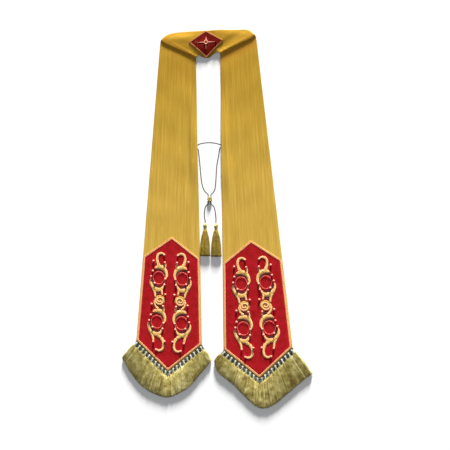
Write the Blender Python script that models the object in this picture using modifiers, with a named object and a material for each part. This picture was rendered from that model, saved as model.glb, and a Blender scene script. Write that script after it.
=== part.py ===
"""Clerical stole laid out flat: two gold bands joined by a neck piece, with red embroidered
panels, knotted fringes, and a closing cord with a sliding knot and two tassels.

The layout has x to the right, y towards the neck and z up from the surface that it lies on,
with y = 0 on the shoulder line. Everything hangs on one empty, which moves the layout so that
its origin is the middle of the footprint. Sizes are in metres.
"""

import math
from collections import namedtuple

import bmesh
import bpy
from mathutils import Matrix, Vector
from mathutils.bvhtree import BVHTree
from mathutils.geometry import delaunay_2d_cdt

# Driving sizes of the stole
SHOULDER_WIDTH = 0.1125
HEM_WIDTH = 0.2120
BAND_LENGTH = 0.942
HEM_POINT = 0.0912
WALL = 0.0016
SEAM_GAP = 0.0003
CENTRE_BACK_X = -0.007

# How the fringe falls from a place on the hem: -1 is its outer corner, and the turn is in degrees
Fall = namedtuple("Fall", "along turn length")
# One row for each half: side is -1 on the left, the shoulder is the middle of the band's top
Half = namedtuple("Half", "name side shoulder lean mitre_start mitre_depth top_edge lower_edge fringe")
HALVES = (
    Half(
        name="left",
        side=-1,
        shoulder=Vector((-0.0973, 0.0056)),
        lean=-0.031,
        mitre_start=0.0038,
        mitre_depth=0.0535,
        top_edge=(
            (-0.1414, 0.0151), (-0.1318, 0.0214), (-0.1189, 0.0257),
            (-0.0965, 0.0278), (-0.0520, 0.0289),
        ),
        lower_edge=((-0.0296, -0.0469), (-0.0185, -0.0529)),
        fringe=(
            Fall(-1.0, 39.0, 0.076), Fall(-0.5, 22.0, 0.095), Fall(0.0, 0.0, 0.082),
            Fall(0.5, -18.0, 0.086), Fall(1.0, -31.0, 0.058),
        ),
    ),
    Half(
        name="right",
        side=1,
        shoulder=Vector((0.0919, -0.0056)),
        lean=0.0643,
        mitre_start=-0.0061,
        mitre_depth=0.0428,
        top_edge=(
            (0.1449, 0.0065), (0.1318, 0.0179), (0.1189, 0.0249),
            (0.0801, 0.0263), (0.0366, 0.0289),
        ),
        lower_edge=((0.0332, -0.0403), (0.0257, -0.0400), (0.0147, -0.0459), (0.0035, -0.0540)),
        fringe=(
            Fall(-1.0, 44.0, 0.084), Fall(-0.5, 24.0, 0.090), Fall(0.0, 0.0, 0.088),
            Fall(0.5, -18.0, 0.078), Fall(1.0, -36.0, 0.054),
        ),
    ),
)
CENTRE_BACK_TOP_Y = 0.0287
CENTRE_BACK_LOW_Y = -0.0556

# Mitre pleat: the angle between its hidden and its visible fold, and the levels of its layers
PLEAT_ANGLE = math.radians(30)
LOWER_LEVEL = WALL / 2
MIDDLE_LEVEL = 0.0032
COVER_LEVEL = 0.0056
NECK_LEVEL = 0.0014
VISIBLE_FOLD_RADIUS = 0.0028
CORNER_FOLD_RADIUS = 0.00125
CORNER_RAMP = 0.007
CORNER_SHARE = 0.12
COVER_FADE = 0.028
RIDGE_FADE = 0.026
NECK_ROLL_SHARE = 0.15

# Soft folds of the neck piece: a crest from one point to another, its height and half its width
SoftFold = namedtuple("SoftFold", "start end height reach")
NECK_FOLDS = (
    SoftFold(Vector((0.026, -0.046)), Vector((0.098, 0.012)), 0.0034, 0.024),
    SoftFold(Vector((-0.031, -0.052)), Vector((-0.078, -0.012)), 0.0018, 0.020),
    SoftFold(Vector((-0.060, 0.012)), Vector((-0.125, 0.014)), 0.0012, 0.018),
)

# Stations across the strip, 0 on the outer edge, and down the band from the mitre
ACROSS = (0, 0.05, 0.12, 0.22, 0.34, 0.5, 0.62, 0.72, 0.8, 0.88, 0.94, 1)
# One row for each station down the band: how far down it is, and how much it follows the mitre
BAND_ROWS = (
    (0.850, 0.0), (0.760, 0.0), (0.660, 0.0), (0.550, 0.0), (0.460, 0.0),
    (0.395, 0.0), (0.370, 0.0), (0.335, 0.0), (0.305, 0.0), (0.280, 0.0),
    (0.220, 0.1), (0.150, 0.35), (0.080, 0.7), (0.030, 0.95), (0.012, 1.0),
)
NECK_ROWS = (0.05, 0.11, 0.18, 0.26, 0.34, 0.42, 0.50, 0.58, 0.66, 0.74, 0.82, 0.91, 1.0)

# The inner edge of each band is lifted where the cord runs under it
CORD_CROSSING = 0.337
LIFT_HEIGHT = 0.0043
LIFT_LENGTH = 0.034
LIFT_FADE = 0.023
LIFT_FROM = 0.80
LIFT_FULL = 0.88

# Red panels and the braid round them
PANEL_SHOULDER = 0.6754
PANEL_RISE = 0.066
PANEL_INSET = 0.009
PANEL_THICKNESS = 0.0009
BRAID_OUTER_INSET = 0.0032
BRAID_WIDTH = 0.0055
BRAID_THICKNESS = 0.0018

# Goldwork scrolls, in the panel's own plane: outward from its middle line, and down from its top
SCROLL_THICKNESS = 0.0012
RING_PLACES = ((0.0375, 0.1317, 1.0), (0.0395, 0.2690, 1.03))
HOOK_PLACES = ((0.0335, 0.0740, 1), (0.0285, 0.3410, -1))
ROSETTE_PLACE = (0.0325, 0.2025)
# Each row of a stroke is a point of its middle line and the stroke's width there
LEAF_STROKES = {
    "inner leaf": ((0.015, -0.028, 0.005), (0.007, -0.032, 0.010), (-0.003, -0.033, 0.013),
                   (-0.012, -0.030, 0.014), (-0.020, -0.023, 0.011), (-0.024, -0.013, 0.009),
                   (-0.0245, -0.003, 0.008), (-0.021, 0.005, 0.004)),
    "inner tip": ((-0.017, -0.027, 0.010), (-0.019, -0.038, 0.007), (-0.018, -0.048, 0.005)),
    "outer leaf": ((0.0245, 0.000, 0.004), (0.0265, 0.010, 0.007), (0.025, 0.020, 0.009),
                   (0.019, 0.030, 0.012), (0.009, 0.037, 0.014), (-0.003, 0.038, 0.012),
                   (-0.011, 0.033, 0.009), (-0.016, 0.025, 0.005), (-0.0195, 0.014, 0.003),
                   (-0.0205, 0.002, 0.003)),
    "stem": ((0.018, 0.034, 0.010), (0.013, 0.044, 0.008), (0.0105, 0.054, 0.007),
             (0.010, 0.062, 0.0055)),
}
HOOK_STROKE = (
    (0.003, 0.024, 0.013), (0.008, 0.015, 0.010), (0.011, 0.005, 0.008), (0.0115, -0.005, 0.008),
    (0.008, -0.014, 0.008), (0.001, -0.018, 0.008), (-0.006, -0.0175, 0.007), (-0.012, -0.014, 0.006),
)
NECK_STROKES = (
    ((0.0285, 0.1650, 0.009), (0.0270, 0.1750, 0.007), (0.0250, 0.1860, 0.006)),
    ((0.0500, 0.2030, 0.0065), (0.0485, 0.2130, 0.0068), (0.0445, 0.2220, 0.008), (0.0370, 0.2300, 0.011)),
    ((0.0365, 0.3080, 0.013), (0.0320, 0.3140, 0.012), (0.0255, 0.3180, 0.011)),
)
ROSETTE_RADIUS = 0.0165
ROSETTE_CORE = 0.0035
ROSETTE_TURNS = 1.55
ROSETTE_START = math.radians(-20)
ROSETTE_FLATTENING = 0.92
ROSETTE_WIDTH = 0.0062
ROSETTE_END_WIDTH = 0.0045
NARROWEST_STROKE = 0.002

# Emblem on the neck piece: corners of its edging, and a star on its ground. Each piece clears
# the highest level found within its reach of a point, so that it stays above what it lies on
EMBLEM_CORNERS = (
    Vector((-0.0080, 0.0283)), Vector((0.0470, -0.0050)),
    Vector((-0.0065, -0.0548)), Vector((-0.0610, -0.0060)),
)
EMBLEM_EDGING = 0.0036
EMBLEM_CLEARANCE = 0.0004
EMBLEM_CELLS = 8
GROUND_REACH = 0.0025
EDGING_THICKNESS = 0.0016
EDGING_REACH = 0.0015
EDGING_RIM_RISE = 0.0004
EDGING_STEPS = 6
STAR_CENTRE = Vector((-0.0072, -0.0085))
STAR_LONG_ARM = 0.035
STAR_TALL_ARM = 0.023
STAR_SHORT_ARM = 0.010
STAR_NOTCH = 0.0052
STAR_REACH = 0.003
STAR_THICKNESS = 0.0011
STAR_CLEARANCE = 0.0006
STAR_RINGS = (0.3, 0.53, 0.76, 1.0)

# Fringe
LOCKS_PER_SIDE = 10
FRINGE_STRIP = 0.0045
FRINGE_STRIP_THICKNESS = 0.0020
LOCK_ROOT_SHARE = 0.36
LOCK_ROOT_LENGTH = 0.011
LOCK_ROOT_THICKNESS = 0.0018
LOCK_ROOT_RISE = 0.0006
KNOT_SHOULDER = 0.0030
KNOT_RISE = 0.0010
KNOT_SHARE = 0.84
KNOT_FLARE = 1.05
KNOT_LENGTH = 0.0045
KNOT_THICKNESS = 0.0030
STRANDS_PER_LOCK = 4
STRAND_THICKNESS = 0.0017
STRAND_END_SHARE = 0.80
STRAND_ARCH_AT = 0.35
STRAND_UNEVENNESS = 0.025
FLOOR_CLEARANCE = 0.0003
STRAND_ARCH = (0.0034, 0.0046, 0.0039, 0.0028)

# Cord, its sliding knot and its tassels
CORD_DIAMETER = 0.0035
CORD_LEVEL = 0.0018
CORD_STEP = 0.0055
CORD_STRAIGHT = 0.004
CORD_EASE = 0.008
KNOT_PLACE = Vector((0.0035, -0.4909, 0.0041))
KNOT_SIZE = Vector((0.0155, 0.0140, 0.0078))
CORD_SPREAD = 0.0044
Tassel = namedtuple("Tassel", "name top turn")
TASSELS = (
    Tassel("left_tassel", Vector((-0.0102, -0.5650, 0.0055)), math.radians(-0.2)),
    Tassel("right_tassel", Vector((0.0238, -0.5663, 0.0055)), math.radians(0.6)),
)
TASSEL_SKIRT_TOP = 0.0175
TASSEL_LENGTH = 0.099
TASSEL_ROOT_HALF_WIDTH = 0.0062
TASSEL_END_HALF_WIDTH = 0.0151
TASSEL_LOCKS_ACROSS = 6
TASSEL_LAYERS = 3
TASSEL_LOCK_SHARE = 0.86
TASSEL_LOCK_THICKNESS = 0.0014
TASSEL_UNEVENNESS = 0.0018
# One row for each station of the skirt: share of its length, level, and step between layers
TASSEL_SKIRT_ROWS = ((0.32, 0.0003, 0.0017), (1.0, -0.0023, 0.0020))
# One row for each ring of the head: distance from the neck, half width and half thickness
TASSEL_HEAD_ROWS = ((0.0025, 0.0046, 0.0040), (0.0050, 0.0058, 0.0048), (0.0095, 0.0062, 0.0051),
                    (0.0135, 0.0052, 0.0045), (0.0160, 0.0034, 0.0032), (0.0172, 0.0016, 0.0016))
CORD_ROUTES = {
    "cord_cross": ((-0.0520, -0.3262), (-0.0440, -0.3262), (-0.0368, -0.3248), (-0.0255, -0.3195),
                   (-0.0028, -0.3167), (0.0194, -0.3185), (0.0369, -0.3235), (0.0430, -0.3250),
                   (0.0490, -0.3255), (0.0550, -0.3255)),
    "cord_left_upper": ((-0.0510, -0.3315), (-0.0440, -0.3310), (-0.0385, -0.3318), (-0.0345, -0.3348),
                        (-0.0325, -0.3400), (-0.0313, -0.3480), (-0.0300, -0.3590), (-0.0286, -0.3725),
                        (-0.0223, -0.4355), (-0.0160, -0.4590), (-0.0090, -0.4695)),
    "cord_right_upper": ((0.0540, -0.3310), (0.0470, -0.3308), (0.0410, -0.3312), (0.0372, -0.3330),
                         (0.0347, -0.3370), (0.0332, -0.3440), (0.0317, -0.3550), (0.0295, -0.3680),
                         (0.0257, -0.3892), (0.0226, -0.4361), (0.0200, -0.4590), (0.0150, -0.4695)),
    "cord_left_lower": ((-0.0090, -0.5130), (-0.0122, -0.5235), (-0.0132, -0.5370), (-0.0126, -0.5500)),
    "cord_right_lower": ((0.0160, -0.5130), (0.0195, -0.5235), (0.0217, -0.5370), (0.0233, -0.5510)),
}

# Colours: red, green, blue in linear light, roughness and metallic
GOLD_CLOTH = ((0.50, 0.31, 0.055), 0.45, 0.35)
RED_CLOTH = ((0.40, 0.010, 0.018), 0.70, 0.0)
DARK_RED_CLOTH = ((0.20, 0.006, 0.008), 0.65, 0.0)
BRAID_GOLD = ((0.80, 0.40, 0.16), 0.50, 0.25)
GOLDWORK = ((0.76, 0.42, 0.10), 0.38, 0.45)
FRINGE_GOLD = ((0.45, 0.38, 0.11), 0.55, 0.20)
TASSEL_GOLD = ((0.30, 0.21, 0.045), 0.50, 0.25)
CORD_GOLD = ((0.24, 0.19, 0.09), 0.60, 0.15)


def clear_scene():
    for thing in list(bpy.data.objects):
        bpy.data.objects.remove(thing, do_unlink=True)


def smooth(share):
    """Eases a share from 0 to 1, and holds it outside."""
    share = min(max(share, 0.0), 1.0)
    return share * share * (3 - 2 * share)


def mix(start, end, share):
    return start + (end - start) * share


def material(name, finish):
    colour, roughness, metallic = finish
    made = bpy.data.materials.new(name)
    made.use_nodes = True
    shader = made.node_tree.nodes["Principled BSDF"]
    shader.inputs["Base Color"].default_value = (*colour, 1.0)
    shader.inputs["Roughness"].default_value = roughness
    shader.inputs["Metallic"].default_value = metallic
    return made


def add_object(name, data, finish, collection, parent):
    thing = bpy.data.objects.new(name, data)
    data.materials.append(finish)
    collection.objects.link(thing)
    thing.parent = parent
    return thing


def mesh_from(bm, name):
    mesh = bpy.data.meshes.new(name)
    bmesh.ops.recalc_face_normals(bm, faces=bm.faces[:])
    bm.to_mesh(mesh)
    bm.free()
    return mesh


def add_wall(thing, thickness):
    """Gives an open surface its thickness, half to each side."""
    wall = thing.modifiers.new("Wall", "SOLIDIFY")
    wall.thickness = thickness
    wall.offset = 0.0


def sheet_mesh(rows, name):
    """A sheet through rows of points, all with as many points, facing up."""
    bm = bmesh.new()
    across = len(rows[0])
    bmesh.ops.create_grid(bm, x_segments=across - 1, y_segments=len(rows) - 1, size=0.5)
    for vert in bm.verts:
        column = round((vert.co.x + 0.5) * (across - 1))
        row = round((vert.co.y + 0.5) * (len(rows) - 1))
        vert.co = rows[row][column]
    bm.normal_update()
    if sum(face.normal.z * face.calc_area() for face in bm.faces) < 0:
        bmesh.ops.reverse_faces(bm, faces=bm.faces[:])
    mesh = bpy.data.meshes.new(name)
    bm.to_mesh(mesh)
    bm.free()
    return mesh


def smooth_route(points, samples):
    """Reads a smooth curve through the points at evenly spaced distances along it."""
    points = [Vector(point) for point in points]
    ends = [points[0] * 2 - points[1], *points, points[-1] * 2 - points[-2]]
    fine = [points[0]]
    steps = 24
    for before, start, end, after in zip(ends, ends[1:], ends[2:], ends[3:]):
        for step in range(1, steps + 1):
            t = step / steps
            fine.append(
                0.5 * (start * 2 + (end - before) * t
                       + (before * 2 - start * 5 + end * 4 - after) * t ** 2
                       + (start * 3 - before - end * 3 + after) * t ** 3)
            )
    travelled = [0.0]
    for start, end in zip(fine, fine[1:]):
        travelled.append(travelled[-1] + (end - start).length)
    read = []
    at = 0
    for sample in range(samples):
        wanted = travelled[-1] * sample / (samples - 1)
        while at < len(fine) - 2 and travelled[at + 1] < wanted:
            at += 1
        share = (wanted - travelled[at]) / (travelled[at + 1] - travelled[at])
        read.append(mix(fine[at], fine[at + 1], share))
    return read


def band_width(down):
    return mix(SHOULDER_WIDTH, HEM_WIDTH, down / BAND_LENGTH)


def band_point(half, out, down):
    """A point of the half's band: out from its middle line and down from the shoulder."""
    turn = Matrix.Rotation(half.lean, 2)
    return half.shoulder + turn @ Vector((half.side * out, -down))


def flat(point, level):
    return Vector((point[0], point[1], level))


class Mitre:
    """The mitre pleat of one half: its corner, its visible fold and its hidden fold."""

    def __init__(self, half):
        self.half = half
        low = half.mitre_start + half.mitre_depth
        self.corner = band_point(half, band_width(half.mitre_start) / 2, half.mitre_start)
        self.inner = band_point(half, -band_width(low) / 2, low)
        self.along = self.inner - self.corner
        self.reach = self.along.length
        turn = Matrix.Rotation(-half.side * PLEAT_ANGLE, 2)
        self.hidden_along = turn @ self.along

    def visible(self, across):
        return self.corner + self.along * across

    def overlap(self, across):
        return 2 * self.reach * across * math.sin(PLEAT_ANGLE / 2)

    def back(self):
        """The direction from the visible fold to the hidden one."""
        return (self.hidden_along - self.along).normalized()

    def fold_radius(self, across):
        return mix(CORNER_FOLD_RADIUS, VISIBLE_FOLD_RADIUS, smooth(across / 0.45))

    def lift(self, point):
        """How far the hidden layers raise the neck piece over its resting level."""
        from_corner = point - self.corner
        beyond_hidden = signed_offset(self.hidden_along, from_corner) * -self.half.side
        beyond_visible = signed_offset(self.along, from_corner) * -self.half.side
        outside = max(beyond_hidden, from_corner.length - self.reach, 0.0)
        cover = (COVER_LEVEL - NECK_LEVEL) * (1 - smooth(outside / COVER_FADE))
        across = min(from_corner.length / self.reach, 1.0)
        ridge_height = MIDDLE_LEVEL + 2 * self.fold_radius(across) - COVER_LEVEL
        ridge = ridge_height * (1 - smooth(beyond_visible / RIDGE_FADE))
        return cover + ridge * (1 - smooth(outside / COVER_FADE))


def signed_offset(line, offset):
    """The distance of an offset from a line through the corner, positive on its left."""
    return (line.x * offset.y - line.y * offset.x) / line.length


MITRES = {half.name: Mitre(half) for half in HALVES}


def soft_fold_height(fold, point):
    line = fold.end - fold.start
    share = (point - fold.start).dot(line) / line.length_squared
    nearest = fold.start + line * min(max(share, 0.0), 1.0)
    away = (point - nearest).length / fold.reach
    if away >= 1:
        return 0.0
    fade = 1 - 0.6 * min(max(share, 0.0), 1.0)
    return fold.height * fade * (1 + math.cos(math.pi * away)) / 2


def neck_level(point):
    """The level of the neck piece, the same function for both halves and their trimmings."""
    level = NECK_LEVEL + sum(mitre.lift(point) for mitre in MITRES.values())
    return level + sum(soft_fold_height(fold, point) for fold in NECK_FOLDS)


def pleat_rows(half):
    """Rows of the pleat from the band's layer through both folds up to the neck piece."""
    mitre = MITRES[half.name]
    back = mitre.back()
    down = band_point(half, 0, 1) - band_point(half, 0, 0)
    top_edge = Vector(half.top_edge[0]) - mitre.corner
    rows = [[] for _ in range(11)]
    for across in ACROSS:
        start = mitre.visible(across)
        overlap = mitre.overlap(across)
        low = (MIDDLE_LEVEL - LOWER_LEVEL) / 2
        high = mitre.fold_radius(across)
        profile = [(0.0, LOWER_LEVEL), (overlap - low, LOWER_LEVEL)]
        for angle in (-45, 0, 45):
            swing = math.radians(angle)
            profile.append((overlap - low + low * math.cos(swing), LOWER_LEVEL + low + low * math.sin(swing)))
        profile += [(overlap - low, MIDDLE_LEVEL), (high, MIDDLE_LEVEL)]
        for angle in (-45, 0, 45):
            swing = math.radians(angle)
            profile.append((high - high * math.cos(swing), MIDDLE_LEVEL + high + high * math.sin(swing)))
        profile.append((high, MIDDLE_LEVEL + 2 * high))
        folded = smooth(across / CORNER_SHARE)
        for row, (distance, level) in enumerate(profile):
            share = row / (len(profile) - 1)
            first = start + down.normalized() * CORNER_RAMP
            last = start + mix(top_edge.normalized(), back, min(across / CORNER_SHARE, 1)) * CORNER_RAMP
            ramp = mix(mix(first, start, share), mix(start, last, share), share)
            ramp_level = mix(LOWER_LEVEL, MIDDLE_LEVEL + 2 * high, smooth(share))
            place = mix(ramp, start + back * distance, folded)
            rows[row].append(flat(place, mix(ramp_level, level, folded)))
    return rows


def neck_rows(half):
    """Rows of the neck piece from the pleat to the centre back, ruled between its two edges."""
    mitre = MITRES[half.name]
    seam_x = CENTRE_BACK_X + half.side * SEAM_GAP / 2
    top_start = mitre.corner + (Vector(half.top_edge[0]) - mitre.corner).normalized() * CORNER_RAMP
    top = smooth_route((top_start, *half.top_edge, (seam_x, CENTRE_BACK_TOP_Y)), 101)
    low = smooth_route((mitre.inner, *half.lower_edge, (seam_x, CENTRE_BACK_LOW_Y)), 101)
    fold_offset = mitre.back() * VISIBLE_FOLD_RADIUS
    rows = []
    for share in NECK_ROWS:
        row = []
        for across in ACROSS:
            place = mix(top[round(share * 100)], low[round(share * 100)], across)
            place = place + fold_offset * smooth(across / CORNER_SHARE) * max(1 - share / NECK_ROLL_SHARE, 0)
            row.append(flat(place, neck_level(place)))
        rows.append(row)
    return rows


def band_lift(across, down):
    """How far the band's inner edge is raised over the cord."""
    past = abs(down - CORD_CROSSING) - LIFT_LENGTH
    height = LIFT_HEIGHT * (1 - smooth(past / LIFT_FADE))
    return height * smooth((across - LIFT_FROM) / (LIFT_FULL - LIFT_FROM))


def band_rows(half):
    """Rows of the band from its pointed hem up to the mitre."""
    rows = []
    hem = []
    for across in ACROSS:
        down = BAND_LENGTH + HEM_POINT * (1 - abs(2 * across - 1))
        hem.append(flat(band_point(half, HEM_WIDTH * (0.5 - across), down), LOWER_LEVEL))
    rows.append(hem)
    for down, follow in BAND_ROWS:
        row = []
        for across in ACROSS:
            here = down + follow * (half.mitre_start + across * half.mitre_depth)
            if across == 0 and follow > 0.9:
                here = max(here, half.mitre_start + CORNER_RAMP + 0.6 * (down - 0.005))
            level = LOWER_LEVEL + band_lift(across, here)
            width = band_width(here)
            row.append(flat(band_point(half, width * (0.5 - across), here), level))
        rows.append(row)
    return rows


def make_half(half, finish, collection, parent):
    rows = band_rows(half) + pleat_rows(half) + neck_rows(half)
    mesh = sheet_mesh(rows, f"{half.name}_half")
    thing = add_object(f"{half.name}_half", mesh, finish, collection, parent)
    add_wall(thing, WALL)
    mesh.shade_smooth()
    return thing


def inset_outline(points, inset):
    """Moves each side of a closed outline inwards. The points go round anticlockwise."""
    moved = []
    for before, here, after in zip(points[-1:] + points[:-1], points, points[1:] + points[:1]):
        first = (here - before).normalized()
        second = (after - here).normalized()
        first_in = Vector((-first.y, first.x))
        second_in = Vector((-second.y, second.x))
        corner = (first_in + second_in) / (1 + first_in.dot(second_in))
        moved.append(here + corner * inset)
    return moved


def anticlockwise(points):
    area = sum(a.x * b.y - a.y * b.x for a, b in zip(points, points[1:] + points[:1]))
    return points if area > 0 else points[::-1]


def panel_outline(half, inset):
    """The six-sided outline of a panel, as far in from the band's edges as asked."""
    corners = (
        (0, PANEL_SHOULDER - PANEL_RISE),
        (band_width(PANEL_SHOULDER) / 2, PANEL_SHOULDER),
        (HEM_WIDTH / 2, BAND_LENGTH),
        (0, BAND_LENGTH + HEM_POINT),
        (-HEM_WIDTH / 2, BAND_LENGTH),
        (-band_width(PANEL_SHOULDER) / 2, PANEL_SHOULDER),
    )
    outline = [band_point(half, out, down) for out, down in corners]
    return inset_outline(anticlockwise(outline), inset)


def flat_mesh(name, outlines, level):
    """A flat face in the first outline, or a flat ring between two with as many points."""
    bm = bmesh.new()
    loops = [[bm.verts.new(flat(point, level)) for point in outline] for outline in outlines]
    if len(loops) == 1:
        bm.faces.new(loops[0])
    else:
        for i, _ in enumerate(loops[0]):
            bm.faces.new((loops[0][i - 1], loops[0][i], loops[1][i], loops[1][i - 1]))
    return mesh_from(bm, name)


def make_panel(half, finish, collection, parent):
    level = WALL + SEAM_GAP + PANEL_THICKNESS / 2
    name = f"{half.name}_panel"
    mesh = flat_mesh(name, [panel_outline(half, PANEL_INSET)], level)
    add_wall(add_object(name, mesh, finish, collection, parent), PANEL_THICKNESS)


def make_panel_braid(half, finish, collection, parent):
    level = WALL + SEAM_GAP + BRAID_THICKNESS / 2
    name = f"{half.name}_panel_braid"
    insets = (BRAID_OUTER_INSET, BRAID_OUTER_INSET + BRAID_WIDTH)
    mesh = flat_mesh(name, [panel_outline(half, inset) for inset in insets], level)
    add_wall(add_object(name, mesh, finish, collection, parent), BRAID_THICKNESS)


def stroke_outline(rows, samples):
    """The outline of a tapered stroke from points of its middle line and widths there."""
    route = smooth_route(rows, samples)
    left = []
    right = []
    for i, here in enumerate(route):
        before = route[max(i - 1, 0)]
        after = route[min(i + 1, samples - 1)]
        along = Vector((after.x - before.x, after.y - before.y)).normalized()
        sideways = Vector((-along.y, along.x)) * max(here.z, NARROWEST_STROKE) / 2
        left.append(Vector((here.x, here.y)) + sideways)
        right.append(Vector((here.x, here.y)) - sideways)
    start, end = (Vector((here.x, here.y)) for here in (route[0], route[-1]))
    start_tip = start + (start - (left[1] + right[1]) / 2).normalized() * route[0].z / 2
    end_tip = end + (end - (left[-2] + right[-2]) / 2).normalized() * route[-1].z / 2
    return [start_tip, *left, end_tip, *right[::-1]]


def rosette_rows():
    rows = []
    steps = 9
    for step in range(steps + 1):
        share = step / steps
        radius = mix(ROSETTE_RADIUS, ROSETTE_CORE, share)
        angle = ROSETTE_START + share * ROSETTE_TURNS * 2 * math.pi
        x = ROSETTE_PLACE[0] + radius * math.cos(angle)
        y = ROSETTE_PLACE[1] + radius * math.sin(angle) * ROSETTE_FLATTENING
        rows.append((x, y, mix(ROSETTE_WIDTH, ROSETTE_END_WIDTH, share)))
    return rows


def scroll_strokes():
    """All strokes of one scroll column, in the panel's own plane."""
    strokes = []
    for out, down, size in RING_PLACES:
        for rows in LEAF_STROKES.values():
            strokes.append((3 + len(rows), [(out + x * size, down + y * size, w) for x, y, w in rows]))
    for out, down, way in HOOK_PLACES:
        strokes.append((10, [(out + way * x, down + way * y, w) for x, y, w in HOOK_STROKE]))
    for rows in NECK_STROKES:
        strokes.append((4, rows))
    strokes.append((17, rosette_rows()))
    return strokes


def make_scroll(half, column, finish, collection, parent):
    """One column of scrollwork: the strokes laid over each other and cut as one flat piece."""
    points = []
    faces = []
    apex = PANEL_SHOULDER - PANEL_RISE
    for samples, rows in scroll_strokes():
        first = len(points)
        outline = stroke_outline(rows, samples)
        placed = [band_point(half, column * point.x, apex + point.y) for point in outline]
        points += anticlockwise(placed)
        faces.append(list(range(first, len(points))))
    cut_points, _, cut_faces, _, _, sources = delaunay_2d_cdt(points, [], faces, 0, 1e-6, True)
    name = f"{half.name}_{'outer' if column > 0 else 'inner'}_scroll"
    level = WALL + 2 * SEAM_GAP + PANEL_THICKNESS + SCROLL_THICKNESS / 2
    bm = bmesh.new()
    verts = [bm.verts.new(flat(point, level)) for point in cut_points]
    for face, source in zip(cut_faces, sources):
        if source:
            bm.faces.new([verts[i] for i in face])
    bmesh.ops.delete(bm, geom=[vert for vert in bm.verts if not vert.link_faces], context="VERTS")
    inner = [edge for edge in bm.edges if len(edge.link_faces) == 2]
    bmesh.ops.dissolve_limit(bm, angle_limit=math.radians(1), verts=bm.verts[:], edges=inner)
    mesh = mesh_from(bm, name)
    if mesh.polygons[0].normal.z < 0:
        mesh.flip_normals()
    add_wall(add_object(name, mesh, finish, collection, parent), SCROLL_THICKNESS)


class Top:
    """Reads the level of the upper side of finished pieces."""

    def __init__(self, pieces):
        graph = bpy.context.evaluated_depsgraph_get()
        self.trees = [BVHTree.FromObject(piece, graph) for piece in pieces]

    def level(self, point, reach):
        """The highest level within reach of the point."""
        levels = []
        for x, y in ((0, 0), (reach, 0), (-reach, 0), (0, reach), (0, -reach)):
            start = Vector((point.x + x, point.y + y, 1.0))
            for tree in self.trees:
                found = tree.ray_cast(start, Vector((0, 0, -1)))[0]
                if found is not None:
                    levels.append(found.z)
        return max(levels)


def make_emblem_ground(halves, finish, collection, parent):
    top = Top(halves)
    corners = inset_outline(anticlockwise(list(EMBLEM_CORNERS)), EMBLEM_EDGING + SEAM_GAP)
    rows = []
    for i in range(EMBLEM_CELLS + 1):
        row = []
        for j in range(EMBLEM_CELLS + 1):
            near = mix(corners[0], corners[1], j / EMBLEM_CELLS)
            far = mix(corners[3], corners[2], j / EMBLEM_CELLS)
            place = mix(near, far, i / EMBLEM_CELLS)
            level = top.level(place, GROUND_REACH) + EMBLEM_CLEARANCE + PANEL_THICKNESS / 2
            row.append(flat(place, level))
        rows.append(row)
    thing = add_object("emblem_ground", sheet_mesh(rows, "emblem_ground"), finish, collection, parent)
    add_wall(thing, PANEL_THICKNESS)
    thing.data.shade_smooth()
    return thing


def make_emblem_braid(halves, finish, collection, parent):
    top = Top(halves)
    outer = anticlockwise(list(EMBLEM_CORNERS))
    inner = inset_outline(outer, EMBLEM_EDGING)
    loops = []
    for outline, rise in ((outer, EDGING_RIM_RISE), (inner, 0.0)):
        loop = []
        for start, end in zip(outline, outline[1:] + outline[:1]):
            for step in range(EDGING_STEPS):
                place = mix(start, end, step / EDGING_STEPS)
                height = top.level(mix(place, STAR_CENTRE, 0.02), EDGING_REACH) + rise
                loop.append(flat(place, height + EMBLEM_CLEARANCE + EDGING_THICKNESS / 2))
        loops.append(loop)
    bm = bmesh.new()
    rings = [[bm.verts.new(point) for point in loop] for loop in loops]
    for i, _ in enumerate(rings[0]):
        bm.faces.new((rings[0][i - 1], rings[0][i], rings[1][i], rings[1][i - 1]))
    thing = add_object("emblem_braid", mesh_from(bm, "emblem_braid"), finish, collection, parent)
    add_wall(thing, EDGING_THICKNESS)


def make_emblem_star(ground, finish, collection, parent):
    top = Top([ground])
    outline = []
    for point in range(16):
        angle = point * math.pi / 8
        arm = (STAR_LONG_ARM, STAR_TALL_ARM)[point % 8 == 4]
        reach = arm if point % 4 == 0 else STAR_SHORT_ARM if point % 2 == 0 else STAR_NOTCH
        outline.append(STAR_CENTRE + Vector((math.cos(angle), math.sin(angle))) * reach)
    bm = bmesh.new()
    middle = bm.verts.new(flat(STAR_CENTRE, top.level(STAR_CENTRE, STAR_REACH)))
    inner = None
    for share in STAR_RINGS:
        places = [mix(STAR_CENTRE, place, share) for place in outline]
        ring = [bm.verts.new(flat(place, top.level(place, STAR_REACH))) for place in places]
        for i, _ in enumerate(ring):
            if inner:
                bm.faces.new((inner[i - 1], inner[i], ring[i], ring[i - 1]))
            else:
                bm.faces.new((middle, ring[i - 1], ring[i]))
        inner = ring
    bmesh.ops.translate(bm, vec=(0, 0, STAR_CLEARANCE + STAR_THICKNESS / 2), verts=bm.verts[:])
    mesh = mesh_from(bm, "emblem_star")
    if mesh.polygons[0].normal.z < 0:
        mesh.flip_normals()
    add_wall(add_object("emblem_star", mesh, finish, collection, parent), STAR_THICKNESS)


def hem_place(half, along, out_by):
    """A point near the pointed hem, from -1 on the outer corner to 1 on the inner one."""
    slope = Vector((HEM_WIDTH / 2, HEM_POINT)).normalized()
    out = -along * HEM_WIDTH / 2
    down = BAND_LENGTH + HEM_POINT * (1 - abs(along))
    if abs(along) < 1e-6:
        return band_point(half, 0, down + out_by / slope.x)
    side = -1 if along > 0 else 1
    return band_point(half, out + side * slope.y * out_by, down + slope.x * out_by)


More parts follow.
